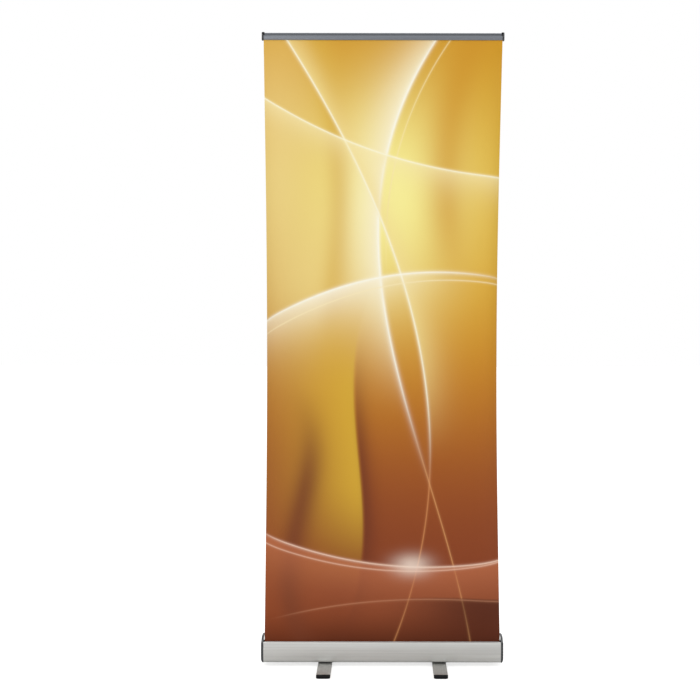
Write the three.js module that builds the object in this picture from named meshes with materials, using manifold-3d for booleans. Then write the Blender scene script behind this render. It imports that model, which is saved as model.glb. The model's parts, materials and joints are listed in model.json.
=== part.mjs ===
// Roll-up banner stand: spring roller base, clamp rail, sectional pole and two swing-out feet.
// Millimetres, +Z up, front towards -Y. The origin is on the floor, under the middle of the base.

import * as THREE from 'three';
import { mergeVertices } from 'three/addons/utils/BufferGeometryUtils.js';
import Module from 'manifold-3d';

const wasm = await Module();
wasm.setup();

// ---- Driving dimensions ----

const touchGap = 0.3;              // left between pieces that touch
const runningGap = 0.4;            // left between pieces that turn on each other

const filmWidth = 800;             // printed film
const filmDrop = 2032;             // film showing between the slot and the rail
const filmThickness = 0.3;

const housingOverhang = 3.5;       // housing past the film at each side
const lipInset = 3.25;             // front lip behind the fullest part of the front face
const lipHeight = 70.5;            // underside to the top of the front lip
const hoodRise = 13.5;             // top of the hood above the front lip
const housingWall = 2;
const lipBeadRadius = 3.5;
const slotWidth = 10.5;
const slotBeadRadius = 1.8;
const cornerRound = 11;            // rounding under the front and back
const hoodCorner = 5;

const endCapThickness = 8;
const endCapOverlap = 0.7;         // end cap standing proud of the housing all round
const endCapRound = 9;             // rounding of the cap's outer lower corner
const endCapTopRound = 4;

const screwRadius = 1.5;
const screwLength = 26;
const screwHeadRadius = 3.4;
const screwHeadHeight = 1.8;
const screwSink = 3;               // screw heads below the cap's outer face
const screwPortWall = 2.2;
const screwDriveDepth = 0.8;
const screwDriveWidth = 0.9;

const rollerRadius = 16;
const rollerWall = 1.2;
const rollerRise = 36;             // roller's axis above the underside of the housing
const rollThickness = 1.2;         // film left on the roller with the banner drawn up
const rollClearance = 1.1;         // between a full roll and the pole's socket
const rollerOverhang = 1;          // roller tube past the film at each side
const plugLength = 22;
const hubRadius = 8;
const hubLength = 14;
const spindleRadius = 4;
const idlerLength = 17;
const spindleLength = 300;
const springRadius = 8.6;
const springWire = 0.9;
const springTurns = 9;

const footLength = 381;
const footWidth = 47;
const footParting = 5.1;           // between the feet as one swings past the other
const footBarHeight = 10;
const footBarWall = 2.5;
const footSole = 2;                // bar above the floor
const footNose = 11;               // plastic tip past the bar's end
const tipPlugLength = 18;
const grooveWidth = 1.4;
const grooveDepth = 0.6;
const grooveCount = 9;
const pivotScrewRadius = 3;
const pivotHeadRadius = 7;
const pivotHeadHeight = 2.6;
const pivotKeyRadius = 2.4;
const washerRadius = 13;
const washerThickness = 1.4;
const nutWidth = 20;
const nutThickness = 3;

const poleRadius = 8;
const poleWall = 1;
const backRoom = 4.5;              // between the pole's socket and the back wall
const sectionCount = 3;
const ferruleReach = 30;
const collarHeight = 3;
const socketWall = 1.7;
const socketFloor = 2;
const socketFlange = 2;
const cordRadius = 2;
const cordStopRadius = 4.2;
const cordStopHeight = 2.4;
const hookShoulder = 1;            // hook's round body past the pole all round
const hookGap = 1.7;               // between the hook's round back and the rail's ledge
const hookNeck = 6;                // hook's round body below its finger
const hookFingerWidth = 14;
const hookFingerThickness = 6;
const hookFingerSetback = 1.2;     // finger's end behind the rail's rear face
const hookBackHeight = 8;          // round back of the hook above its finger

const railHeight = 24;
const railBeadRadius = 3.8;
const beadSetback = 2;             // rail's round bead behind the film
const jawWall = 1.7;
const ledgeDepth = 8;              // ledge that the pole lifts the rail by
const ledgeThickness = 2.5;
const railCapThickness = 6;
const railCapOverlap = 1.2;
const railKnobRadius = 4.6;
const railKnobRise = 3.8;          // knob's middle above the bead's
const railKnobInset = 2.7;         // knob over the rail's end
const filmGrip = 2.55;             // film held between the jaws

// ---- Sizes that follow ----

const footTop = footSole + footBarHeight;
const underside = footTop + washerThickness + 2 * touchGap;
const lipTop = underside + lipHeight;
const hoodTop = lipTop + hoodRise;
const rollRadius = rollerRadius + touchGap + rollThickness;
const fullRollRadius = Math.sqrt(rollRadius ** 2 + filmDrop * filmThickness / Math.PI);
const socketOuter = poleRadius + touchGap + socketWall;
const filmFromFront = lipInset + 2 * lipBeadRadius + slotWidth / 2;
const poleFromFront = filmFromFront + rollRadius + fullRollRadius + rollClearance + socketOuter;
const housingDepth = poleFromFront + socketOuter + backRoom + housingWall;
const halfDepth = housingDepth / 2;
const poleFootY = poleFromFront - halfDepth;
const housingLength = filmWidth + 2 * housingOverhang;
const filmY = filmFromFront - halfDepth;
const slotFrontY = filmY - slotWidth / 2;
const slotBackY = filmY + slotWidth / 2;
const lipY = slotFrontY - lipBeadRadius;
const lipZ = lipTop - lipBeadRadius;
const slotBeadZ = lipTop + hoodRise * 0.3;
const railBottom = lipTop + filmDrop;
const rollerAxisHeight = underside + rollerRise;
const rollerY = filmY + rollRadius;
const rollerLength = filmWidth + 2 * rollerOverhang;
const capInnerX = housingLength / 2 + touchGap;
const capOuterX = capInnerX + endCapThickness;
const screwTopX = capOuterX - screwSink;
const poleInnerRadius = poleRadius - poleWall;
const footSpacing = 2 * Math.hypot(footLength / 2, footWidth / 2) + footParting;

const clipInner = railBeadRadius + touchGap;
const clipOuter = clipInner + jawWall;
const beadY = filmY + beadSetback;
const beadZ = railBottom + railHeight - clipOuter;
const rearPlateY = filmY + clipOuter;
const ledgeBackY = rearPlateY + ledgeDepth;
const hookRadius = poleRadius + hookShoulder;
const poleTopY = ledgeBackY + hookGap + hookRadius;

// ---- Shaping tools ----

const alongX = new THREE.Matrix4().makeBasis(
  new THREE.Vector3(0, 1, 0),
  new THREE.Vector3(0, 0, 1),
  new THREE.Vector3(1, 0, 0),
);
const alongY = new THREE.Matrix4().makeBasis(
  new THREE.Vector3(1, 0, 0),
  new THREE.Vector3(0, 0, 1),
  new THREE.Vector3(0, -1, 0),
);
const alongZ = new THREE.Matrix4();

// A section pushed out along one axis, centred on the origin along that axis.
function extrude(shape, length, direction = alongZ) {
  const settings = { depth: length, bevelEnabled: false, curveSegments: 10 };
  const geometry = new THREE.ExtrudeGeometry(shape, settings);
  geometry.translate(0, 0, -length / 2);
  geometry.applyMatrix4(direction);
  return geometry;
}

// A turned piece from its half section: radius and height pairs, bottom to top up the outside.
function turn(profile, direction = alongZ, sides = 32) {
  const points = profile.map(([radius, height]) => new THREE.Vector2(radius, height));
  const geometry = new THREE.LatheGeometry(points, sides);
  geometry.rotateX(Math.PI / 2);
  geometry.applyMatrix4(direction);
  return geometry;
}

function rod(radius, length, direction = alongZ, sides = 32) {
  const half = length / 2;
  return turn([[0, -half], [radius, -half], [radius, half], [0, half]], direction, sides);
}

function tube(outer, inner, length, direction = alongZ, sides = 32) {
  const half = length / 2;
  const profile = [[inner, -half], [outer, -half], [outer, half], [inner, half], [inner, -half]];
  return turn(profile, direction, sides);
}

function box(sizeX, sizeY, sizeZ) {
  return new THREE.BoxGeometry(sizeX, sizeY, sizeZ);
}

function rectangle(low, high) {
  return new THREE.Shape([
    new THREE.Vector2(low[0], low[1]),
    new THREE.Vector2(high[0], low[1]),
    new THREE.Vector2(high[0], high[1]),
    new THREE.Vector2(low[0], high[1]),
  ]);
}

function roundedRectangle(low, high, radius) {
  const shape = new THREE.Shape();
  const quarter = Math.PI / 2;
  shape.absarc(high[0] - radius, high[1] - radius, radius, 0, quarter);
  shape.absarc(low[0] + radius, high[1] - radius, radius, quarter, 2 * quarter);
  shape.absarc(low[0] + radius, low[1] + radius, radius, 2 * quarter, 3 * quarter);
  shape.absarc(high[0] - radius, low[1] + radius, radius, 3 * quarter, 4 * quarter);
  shape.closePath();
  return shape;
}

function moved(geometry, x, y, z) {
  return geometry.clone().translate(x, y, z);
}

function rodX(radius, length, [x, y, z], sides = 16) {
  return rod(radius, length, alongX, sides).translate(x, y, z);
}

function rodZ(radius, length, [x, y, z], sides = 24) {
  return rod(radius, length, alongZ, sides).translate(x, y, z);
}

function solidFrom(geometry) {
  const bare = geometry.clone();
  bare.deleteAttribute('normal');
  bare.deleteAttribute('uv');
  const merged = mergeVertices(bare, 1e-4);
  return new wasm.Manifold(new wasm.Mesh({
    numProp: 3,
    vertProperties: new Float32Array(merged.attributes.position.array),
    triVerts: new Uint32Array(merged.index.array),
  }));
}

function geometryFrom(solid) {
  const mesh = solid.getMesh();
  const geometry = new THREE.BufferGeometry();
  geometry.setAttribute('position', new THREE.BufferAttribute(mesh.vertProperties, mesh.numProp));
  geometry.setIndex(new THREE.BufferAttribute(mesh.triVerts, 1));
  return geometry;
}

function join(...pieces) {
  return geometryFrom(pieces.map(solidFrom).reduce((whole, piece) => whole.add(piece)));
}

function cut(body, ...tools) {
  return geometryFrom(tools.map(solidFrom).reduce((rest, tool) => rest.subtract(tool), solidFrom(body)));
}

function common(first, second) {
  return geometryFrom(solidFrom(first).intersect(solidFrom(second)));
}

// ---- Materials ----

function finish(color, roughness, metalness) {
  return new THREE.MeshStandardMaterial({ color, roughness, metalness });
}

const finishes = {
  anodised: () => finish(0xc3c6cb, 0.42, 0.9),
  railAnodised: () => finish(0x8d9198, 0.4, 0.9),
  capPlastic: () => finish(0x4a4b4e, 0.5, 0),
  blackPlastic: () => finish(0x1b1b1d, 0.5, 0),
  rubber: () => finish(0x161617, 0.85, 0),
  whitePlastic: () => finish(0xd8d8d4, 0.5, 0),
  steel: () => finish(0xa7aab0, 0.35, 1),
  film: () => finish(0xcda04a, 0.5, 0),
  filmBack: () => finish(0xd9d9d6, 0.6, 0),
  cord: () => finish(0x2a2a2c, 0.9, 0),
};

function addMesh(group, name, geometry, finishName, position = [0, 0, 0]) {
  const mesh = new THREE.Mesh(geometry, finishes[finishName]());
  mesh.name = name;
  mesh.position.set(...position);
  group.add(mesh);
  return mesh;
}

const stand = new THREE.Group();
const sides = [['left', -1], ['right', 1]];

// ---- Housing section ----

// Outside of the housing, from the front lip down, under, up the back and over the hood to the slot.
function housingPath(grow) {
  const frontY = lipY - lipBeadRadius - grow;
  const backY = halfDepth + grow;
  const bottom = underside - grow;
  const top = hoodTop + grow;
  const lowerY = frontY - lipInset / 2;
  const lowerZ = underside + cornerRound;
  const bulgeY = -2 * (halfDepth + grow) - (frontY + lowerY) / 2;
  const bulgeZ = (lipZ + lowerZ) / 2;
  const tuck = (lowerY - bulgeY) * cornerRound / (bulgeZ - lowerZ);
  const path = new THREE.Path();
  path.moveTo(frontY, lipZ);
  path.quadraticCurveTo(bulgeY, bulgeZ, lowerY, lowerZ);
  path.quadraticCurveTo(lowerY + tuck, bottom, frontY + cornerRound, bottom);
  path.lineTo(backY - cornerRound, bottom);
  path.quadraticCurveTo(backY, bottom, backY, underside + cornerRound);
  path.lineTo(backY, hoodTop - hoodCorner);
  path.quadraticCurveTo(backY, top, backY - hoodCorner, top);
  path.lineTo(slotBackY + 2.4 * slotWidth, top);
  path.quadraticCurveTo(slotBackY + slotWidth, top, slotBackY + slotBeadRadius - grow, slotBeadZ);
  return path;
}

// A wall of even thickness that lies inside a path.
function wallSection(points, thickness) {
  const inner = points.map((point, index) => {
    const before = points[Math.max(index - 1, 0)];
    const after = points[Math.min(index + 1, points.length - 1)];
    const along = after.clone().sub(before).normalize();
    return new THREE.Vector2(point.x - along.y * thickness, point.y + along.x * thickness);
  });
  return new THREE.Shape([...points, ...inner.reverse()]);
}

const screwPlaces = [
  ['front', lipY + 1, underside + housingWall + screwRadius + 3],
  ['rear', halfDepth - housingWall - screwRadius - 2, underside + housingWall + screwRadius + 2],
  ['top', halfDepth - housingWall - screwRadius - 2, hoodTop - housingWall - screwRadius - 2],
];
const screwPortRadius = screwRadius + touchGap + screwPortWall;

// ---- Pole line: leans forward from the socket to the rail ----

const poleFootZ = underside + housingWall + touchGap;
const fingerTop = railBottom - 2 * touchGap;
const poleLean = Math.atan2(poleFootY - poleTopY, fingerTop - poleFootZ);
const poleLine = new THREE.Group();
poleLine.position.set(0, poleFootY, poleFootZ);
poleLine.rotation.x = poleLean;
const poleRun = (fingerTop - poleFootZ) / Math.cos(poleLean);   // socket's underside to the finger's top
const hoodLine = (hoodTop - poleFootZ) / Math.cos(poleLean) + touchGap;

function makeHousing() {
  const section = wallSection(housingPath(0).getPoints(9), housingWall);
  const wall = extrude(section, housingLength, alongX);
  const lipBead = rodX(lipBeadRadius, housingLength, [0, lipY, lipZ], 20);
  const slotBead = rodX(slotBeadRadius, housingLength, [0, slotBackY + slotBeadRadius, slotBeadZ], 14);
  const ports = screwPlaces.map(([, y, z]) => rodX(screwPortRadius, housingLength, [0, y, z]));
  const bores = screwPlaces.map(([, y, z]) => rodX(screwRadius + touchGap, housingLength + 2, [0, y, z], 12));
  const socketRoom = rodZ(socketOuter + 2 * touchGap, poleRun, [0, 0, poleRun / 2 - touchGap], 32);
  socketRoom.rotateX(poleLean);
  socketRoom.translate(0, poleFootY, poleFootZ);
  const pivotHoles = sides.map(([, side]) => {
    const place = [side * footSpacing / 2, 0, underside];
    return rodZ(pivotScrewRadius + touchGap, 4 * housingWall, place, 20);
  });
  const body = join(wall, lipBead, slotBead, ...ports);
  addMesh(stand, 'base_housing', cut(body, ...bores, socketRoom, ...pivotHoles), 'anodised');
}

// ---- End caps, their screws, and what they hold ----

function makeEndCaps() {
  const outlinePath = housingPath(endCapOverlap);
  outlinePath.lineTo(lipY, lipTop + endCapOverlap);
  outlinePath.absarc(lipY, lipZ, lipBeadRadius + endCapOverlap, Math.PI / 2, Math.PI);
  const outline = new THREE.Shape(outlinePath.getPoints(9));
  for (const [name, side] of sides) {
    const plate = extrude(outline, endCapThickness, alongX);
    plate.translate(side * (capInnerX + endCapThickness / 2), 0, 0);
    const rounding = extrude(endCapFrontView(), 2 * housingDepth, alongY);
    if (side < 0) rounding.rotateZ(Math.PI);
    const rounded = common(plate, rounding);
    const hubX = side * (capInnerX - hubLength / 2);
    const hub = rodX(hubRadius, hubLength, [hubX + side, rollerY, rollerAxisHeight], 32);
    const boreLength = hubLength + endCapThickness;
    const hubBore = rodX(spindleRadius + touchGap, boreLength, [hubX, rollerY, rollerAxisHeight], 20);
    const headRoom = screwPlaces.map(([, y, z]) => (
      rodX(screwHeadRadius + touchGap, 2 * (screwSink + screwHeadHeight + touchGap), [side * capOuterX, y, z])
    ));
    const screwHoles = screwPlaces.map(([, y, z]) => (
      rodX(screwRadius + touchGap, 3 * endCapThickness, [side * capOuterX, y, z], 12)
    ));
    const cap = cut(join(rounded, hub), hubBore, ...headRoom, ...screwHoles);
    addMesh(stand, `end_cap_${name}`, cap, 'capPlastic');
    for (const [place, y, z] of screwPlaces) {
      makeCapScrew(`end_cap_screw_${name}_${place}`, side, y, z);
    }
  }
}

// The right-hand cap seen from the front: its outer corners are rounded.
function endCapFrontView() {
  const lowest = underside - endCapOverlap;
  const highest = hoodTop + endCapOverlap;
  const hidden = capInnerX - 1;
  const view = new THREE.Shape();
  view.moveTo(capOuterX - endCapRound, lowest);
  view.quadraticCurveTo(capOuterX, lowest, capOuterX, lowest + 1.5 * endCapRound);
  view.lineTo(capOuterX, highest - endCapTopRound);
  view.quadraticCurveTo(capOuterX, highest, capOuterX - endCapTopRound, highest);
  view.lineTo(hidden, highest);
  view.lineTo(hidden, lowest);
  return view;
}

function makeCapScrew(name, side, y, z) {
  const head = rodX(screwHeadRadius, screwHeadHeight, [side * (screwTopX - screwHeadHeight / 2), 0, 0]);
  const shankX = side * (screwTopX - screwHeadHeight - screwLength / 2 + 0.5);
  const shank = rodX(screwRadius, screwLength + 1, [shankX, 0, 0], 12);
  const driveLength = 1.3 * screwHeadRadius;
  const drive = moved(box(2 * screwDriveDepth, screwDriveWidth, driveLength), side * screwTopX, 0, 0);
  const crossDrive = moved(box(2 * screwDriveDepth, driveLength, screwDriveWidth), side * screwTopX, 0, 0);
  addMesh(stand, name, cut(join(head, shank), drive, crossDrive), 'steel', [0, y, z]);
}

// ---- Spring roller ----

function makeRoller() {
  const axle = new THREE.Group();
  axle.position.set(0, rollerY, rollerAxisHeight);
  stand.add(axle);
  const tubeInner = rollerRadius - rollerWall;
  const tubeEnd = rollerLength / 2;
  const plugOuter = tubeInner - touchGap;
  addMesh(axle, 'roller_tube', tube(rollerRadius, tubeInner, rollerLength, alongX, 48), 'steel');
  const roll = tube(rollRadius, rollerRadius + touchGap, filmWidth, alongX, 48);
  addMesh(axle, 'banner_roll', roll, 'filmBack');
  for (const [name, side] of [['roller_idler_plug', -1], ['roller_spring_plug', 1]]) {
    const bore = hubRadius + runningGap;
    const flange = 1.6;
    const half = [
      [bore, 0], [plugOuter, 0], [plugOuter, plugLength], [rollerRadius, plugLength],
      [rollerRadius, plugLength + flange], [bore, plugLength + flange], [bore, 0],
    ];
    const plug = turn(half, alongX);
    if (side < 0) plug.rotateZ(Math.PI);
    addMesh(axle, name, plug, 'blackPlastic', [side * (tubeEnd + touchGap - plugLength), 0, 0]);
  }
  const spindleEnd = capInnerX + endCapThickness / 2 - 1;
  const idlerPin = rod(spindleRadius, idlerLength, alongX, 20);
  addMesh(axle, 'idler_pin', idlerPin, 'steel', [idlerLength / 2 - spindleEnd, 0, 0]);
  addMesh(
    axle,
    'spring_spindle',
    rod(spindleRadius, spindleLength, alongX, 20),
    'steel',
    [spindleEnd - spindleLength / 2, 0, 0],
  );
  const anchorX = spindleEnd - spindleLength + plugLength / 2;
  const anchor = tube(plugOuter, spindleRadius + runningGap, plugLength, alongX);
  addMesh(axle, 'spring_anchor_plug', anchor, 'whitePlastic', [anchorX, 0, 0]);
  makeSpring(axle, anchorX + plugLength / 2 + 1.5, tubeEnd - plugLength - 2);
}

// Counterbalance spring: a few open turns between the anchor plug and the sprung end plug.
function makeSpring(axle, fromX, toX) {
  class Helix extends THREE.Curve {
    getPoint(share) {
      const angle = share * springTurns * 2 * Math.PI;
      const x = fromX + springWire + share * (toX - fromX - 2 * springWire);
      return new THREE.Vector3(x, springRadius * Math.cos(angle), springRadius * Math.sin(angle));
    }
  }
  const wire = new THREE.Shape();
  wire.absarc(0, 0, springWire, 0, 2 * Math.PI);
  const coil = new THREE.ExtrudeGeometry(wire, {
    steps: springTurns * 14,
    curveSegments: 3,
    bevelEnabled: false,
    extrudePath: new Helix(),
  });
  addMesh(axle, 'torsion_spring', coil, 'steel');
}

// ---- Film ----

function makeFilm() {
  const leaderBottom = rollerAxisHeight;
  const leaderTop = lipTop - touchGap;
  const leader = box(filmWidth, filmThickness, leaderTop - leaderBottom);
  const leaderMiddle = (leaderTop + leaderBottom) / 2;
  addMesh(stand, 'banner_leader', leader, 'filmBack', [0, filmY - touchGap, leaderMiddle]);
  const graphicTop = railBottom + filmGrip;
  const graphic = box(filmWidth, filmThickness, graphicTop - lipTop);
  addMesh(stand, 'banner_graphic', graphic, 'film', [0, filmY, (graphicTop + lipTop) / 2]);
}

// ---- Feet ----

function makeFootBar() {
  const barLength = footLength - 2 * footNose;
  const half = footWidth / 2;
  const outer = roundedRectangle([-half, footSole - 4], [half, footTop], 3);
  const trimmed = common(
    extrude(outer, barLength, alongY),
    extrude(rectangle([-half, footSole], [half, footTop]), barLength, alongY),
  );
  const inside = rectangle(
    [-half + footBarWall, footSole - 1],
    [half - footBarWall, footTop - footBarWall],
  );
  const groovePitch = (footWidth - 10) / (grooveCount - 1);
  const grooves = [];
  for (let index = 0; index < grooveCount; index += 1) {
    const x = (index - (grooveCount - 1) / 2) * groovePitch;
    grooves.push(moved(box(grooveWidth, barLength + 2, 2 * grooveDepth), x, 0, footTop));
  }
  const pivotHole = rodZ(pivotScrewRadius + runningGap, 4 * footBarWall, [0, 0, footTop], 20);
  const pad = rodZ(washerRadius, 2 * grooveDepth, [0, 0, footTop - grooveDepth], 32);
  const channel = cut(trimmed, extrude(inside, barLength + 2, alongY), ...grooves);
  return cut(join(channel, pad), pivotHole);
}

// Moulded tip: a round-nosed shoe that reaches the floor, and a plug up inside the bar.
function makeFootTip() {
  const half = footWidth / 2;
  const noseRound = footNose - 1;
  const plan = new THREE.Shape();
  plan.moveTo(-half, 0);
  plan.lineTo(half, 0);
  plan.lineTo(half, footNose - noseRound);
  plan.absarc(half - noseRound, footNose - noseRound, noseRound, 0, Math.PI / 2);
  plan.absarc(-half + noseRound, footNose - noseRound, noseRound, Math.PI / 2, Math.PI);
  const shoe = moved(extrude(plan, footTop), 0, touchGap, footTop / 2);
  const bluntTop = new THREE.Shape();
  bluntTop.moveTo(-1, 0);
  bluntTop.lineTo(footNose + 1, 0);
  bluntTop.lineTo(footNose + 1, footTop - 5);
  bluntTop.quadraticCurveTo(footNose, footTop, footNose - 5, footTop);
  bluntTop.lineTo(-1, footTop);
  const sideView = extrude(bluntTop, 2 * footWidth, alongX);
  const plugWidth = footWidth - 2 * footBarWall - 2 * touchGap;
  const plugTop = footTop - footBarWall - touchGap;
  const plug = moved(box(plugWidth, tipPlugLength, plugTop), 0, -tipPlugLength / 2 + 1, plugTop / 2);
  return join(common(shoe, sideView), plug);
}

function makeFeet() {
  const barEnd = footLength / 2 - footNose;
  for (const [name, side] of sides) {
    const foot = new THREE.Group();
    foot.position.x = side * footSpacing / 2;
    stand.add(foot);
    addMesh(foot, `foot_bar_${name}`, makeFootBar(), 'anodised');
    const front = addMesh(foot, `foot_tip_front_${name}`, makeFootTip(), 'rubber', [0, -barEnd, 0]);
    front.rotation.z = Math.PI;
    addMesh(foot, `foot_tip_rear_${name}`, makeFootTip(), 'rubber', [0, barEnd, 0]);

    const headTop = footTop - footBarWall - touchGap;
    const nutZ = underside + housingWall + touchGap + nutThickness / 2;
    const shankTop = nutZ + nutThickness;
    const shankLength = shankTop - headTop + 1;
    const head = rodZ(pivotHeadRadius, pivotHeadHeight, [0, 0, headTop - pivotHeadHeight / 2]);
    const shank = rodZ(pivotScrewRadius, shankLength, [0, 0, shankTop - shankLength / 2], 20);
    const key = rodZ(pivotKeyRadius, pivotHeadHeight, [0, 0, headTop - pivotHeadHeight], 6);
    addMesh(foot, `foot_pivot_screw_${name}`, cut(join(head, shank), key), 'steel');
    const washer = tube(washerRadius, pivotScrewRadius + touchGap, washerThickness);
    const washerZ = footTop + touchGap + washerThickness / 2;
    addMesh(foot, `foot_washer_${name}`, washer, 'whitePlastic', [0, 0, washerZ]);
    const nutBore = rodZ(pivotScrewRadius + touchGap, 2 * nutThickness, [0, 0, 0], 20);
    const nut = cut(box(nutWidth, nutWidth, nutThickness), nutBore);
    addMesh(foot, `foot_nut_${name}`, nut, 'steel', [0, 0, nutZ]);
  }
}

// ---- Pole ----

function makePole() {
  stand.add(poleLine);
  const bore = poleRadius + touchGap;
  const socket = turn([
    [0, 0], [socketOuter, 0], [socketOuter, hoodLine], [socketOuter + socketWall, hoodLine],
    [socketOuter + socketWall, hoodLine + socketFlange], [bore, hoodLine + socketFlange],
    [bore, socketFloor], [0, socketFloor],
  ]);
  addMesh(poleLine, 'pole_socket', socket, 'blackPlastic');

  const stem = poleInnerRadius - touchGap;
  const cordBore = cordRadius + touchGap;
  const stopBore = cordStopRadius + touchGap;
  const plugBottom = socketFloor + touchGap;
  const plugHead = 6;
  const plugTop = plugBottom + plugHead + ferruleReach;
  const stopRoom = cordStopHeight + touchGap + 1;
  const footPlug = turn([
    [stopBore, plugBottom], [poleRadius, plugBottom], [poleRadius, plugBottom + plugHead],
    [stem, plugBottom + plugHead], [stem, plugTop], [cordBore, plugTop],
    [cordBore, plugBottom + stopRoom], [stopBore, plugBottom + stopRoom], [stopBore, plugBottom],
  ]);
  addMesh(poleLine, 'pole_foot_plug', footPlug, 'blackPlastic');

  const stackBottom = plugBottom + plugHead + touchGap;
  const hookSeat = poleRun - hookFingerThickness - hookNeck;
  const stackTop = hookSeat - touchGap;
  const collars = (sectionCount - 1) * (collarHeight + 2 * touchGap);
  const sectionLength = (stackTop - stackBottom - collars) / sectionCount;
  const pitch = sectionLength + collarHeight + 2 * touchGap;
  ['lower', 'middle', 'upper'].forEach((name, index) => {
    const middle = stackBottom + index * pitch + sectionLength / 2;
    const section = tube(poleRadius, poleInnerRadius, sectionLength);
    addMesh(poleLine, `pole_tube_${name}`, section, 'anodised', [0, 0, middle]);
  });
  ['lower', 'upper'].forEach((name, index) => {
    const middle = stackBottom + (index + 1) * pitch - touchGap - collarHeight / 2;
    const half = collarHeight / 2;
    const reach = ferruleReach + half;
    const ferrule = turn([
      [cordRadius + 2, -reach], [stem, -reach], [stem, -half], [poleRadius, -half], [poleRadius, half],
      [stem, half], [stem, reach], [cordRadius + 2, reach], [cordRadius + 2, -reach],
    ]);
    addMesh(poleLine, `pole_ferrule_${name}`, ferrule, 'steel', [0, 0, middle]);
  });

  const hookTop = poleRun + hookBackHeight;
  const stopSeat = poleRun - hookFingerThickness;
  const stemEnd = hookSeat - ferruleReach;
  const hookBody = turn([
    [cordBore, stemEnd], [stem, stemEnd], [stem, hookSeat], [hookRadius, hookSeat], [hookRadius, hookTop],
    [stopBore, hookTop], [stopBore, stopSeat], [cordBore, stopSeat], [cordBore, stemEnd],
  ]);
  const fingerReach = poleTopY - rearPlateY - hookFingerSetback;
  const finger = extrude(
    roundedRectangle([-hookFingerWidth / 2, -fingerReach], [hookFingerWidth / 2, -hookRadius + 3], 2.5),
    hookFingerThickness,
  );
  const hook = join(hookBody, moved(finger, 0, 0, poleRun - hookFingerThickness / 2));
  addMesh(poleLine, 'pole_top_hook', hook, 'blackPlastic');

  const lowStop = plugBottom + 1 + cordStopHeight / 2;
  const highStop = stopSeat + touchGap + cordStopHeight / 2;
  const stop = rod(cordStopRadius, cordStopHeight, alongZ, 20);
  addMesh(poleLine, 'cord_stop_bottom', stop, 'whitePlastic', [0, 0, lowStop]);
  addMesh(poleLine, 'cord_stop_top', stop.clone(), 'whitePlastic', [0, 0, highStop]);
  const cordBottom = lowStop + cordStopHeight / 2 + touchGap;
  const cordTop = highStop - cordStopHeight / 2 - touchGap;
  const cord = rod(cordRadius, cordTop - cordBottom, alongZ, 8);
  addMesh(poleLine, 'shock_cord', cord, 'cord', [0, 0, (cordTop + cordBottom) / 2]);
}

// ---- Clamp rail: a rear jaw with a round bead, and a front jaw that snaps over it and swings ----

function makeRail() {
  const rail = new THREE.Group();
  stand.add(rail);
  const pinch = filmThickness / 2 + touchGap;
  const shelfBottom = (railBottom + jawWall + beadZ - clipOuter) / 2;
  const shelfTop = shelfBottom + jawWall;

  const knobReach = railKnobInset + touchGap;
  const knobRoom = sides.map(([, side]) => (
    rodX(clipOuter + touchGap, 2 * knobReach, [side * filmWidth / 2, beadY, beadZ], 40)
  ));
  const bead = rodX(railBeadRadius, filmWidth, [0, beadY, beadZ], 24);
  const neckFront = beadY - 0.2;
  const neck = rectangle([neckFront, shelfBottom], [neckFront + jawWall, beadZ]);
  const shelf = rectangle([neckFront, shelfBottom], [rearPlateY, shelfTop]);
  const plate = rectangle([rearPlateY - jawWall, railBottom], [rearPlateY, shelfTop]);
  const nip = rectangle([filmY + pinch, railBottom], [rearPlateY, railBottom + jawWall]);
  const ledge = rectangle([rearPlateY - 1, railBottom], [ledgeBackY, railBottom + ledgeThickness]);
  const rearParts = [neck, shelf, plate, nip, ledge].map((shape) => extrude(shape, filmWidth, alongX));
  addMesh(rail, 'rail_rear_jaw', cut(join(bead, ...rearParts), ...knobRoom), 'railAnodised');

  const clip = new THREE.Shape();
  const clipStart = THREE.MathUtils.degToRad(2);
  const clipEnd = THREE.MathUtils.degToRad(248);
  clip.absarc(beadY, beadZ, clipOuter, clipStart, clipEnd);
  clip.absarc(beadY, beadZ, clipInner, clipEnd, clipStart, true);
  clip.closePath();
  const frontFace = beadY - clipOuter + 1.2;
  const frontPlate = rectangle([frontFace, railBottom], [frontFace + jawWall, beadZ - clipInner + 1]);
  const frontNip = rectangle([frontFace, railBottom], [filmY - pinch, railBottom + jawWall]);
  const frontParts = [clip, frontPlate, frontNip].map((shape) => extrude(shape, filmWidth, alongX));
  const beadRoom = rodX(clipInner, filmWidth + 2, [0, beadY, beadZ], 40);
  addMesh(rail, 'rail_front_jaw', cut(join(...frontParts), beadRoom, ...knobRoom), 'railAnodised');

  const pegLength = 12;
  const pegWidth = 2.6;
  const pegBottom = railBottom + filmGrip + touchGap;
  const pegTop = shelfBottom - touchGap;
  for (const [name, side] of sides) {
    const middle = side * (filmWidth / 2 + touchGap + railCapThickness / 2);
    const low = [beadY - clipOuter - railCapOverlap, railBottom - railCapOverlap];
    const high = [ledgeBackY + railCapOverlap, beadZ + railBeadRadius];
    const plateShape = roundedRectangle(low, high, 2.5);
    const capPlate = extrude(plateShape, railCapThickness, alongX);
    const knobLength = railCapThickness + knobReach;
    const knobX = -side * knobReach / 2;
    const boss = rodX(clipOuter, knobLength, [knobX, beadY, beadZ], 32);
    const knob = rodX(railKnobRadius, knobLength, [knobX, beadY, beadZ + railKnobRise], 24);
    const peg = moved(
      box(pegLength, pegWidth, pegTop - pegBottom),
      -side * (railCapThickness / 2 + pegLength / 2 - 1),
      filmY + pinch + pegWidth / 2,
      (pegTop + pegBottom) / 2,
    );
    addMesh(rail, `rail_cap_${name}`, join(capPlate, boss, knob, peg), 'capPlastic', [middle, 0, 0]);
  }
}

makeHousing();
makeEndCaps();
makeRoller();
makeFilm();
makeFeet();
makePole();
makeRail();

export default stand;
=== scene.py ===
import json
import math

import bmesh
import bpy
import numpy as np
from mathutils import Matrix, Vector


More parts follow.
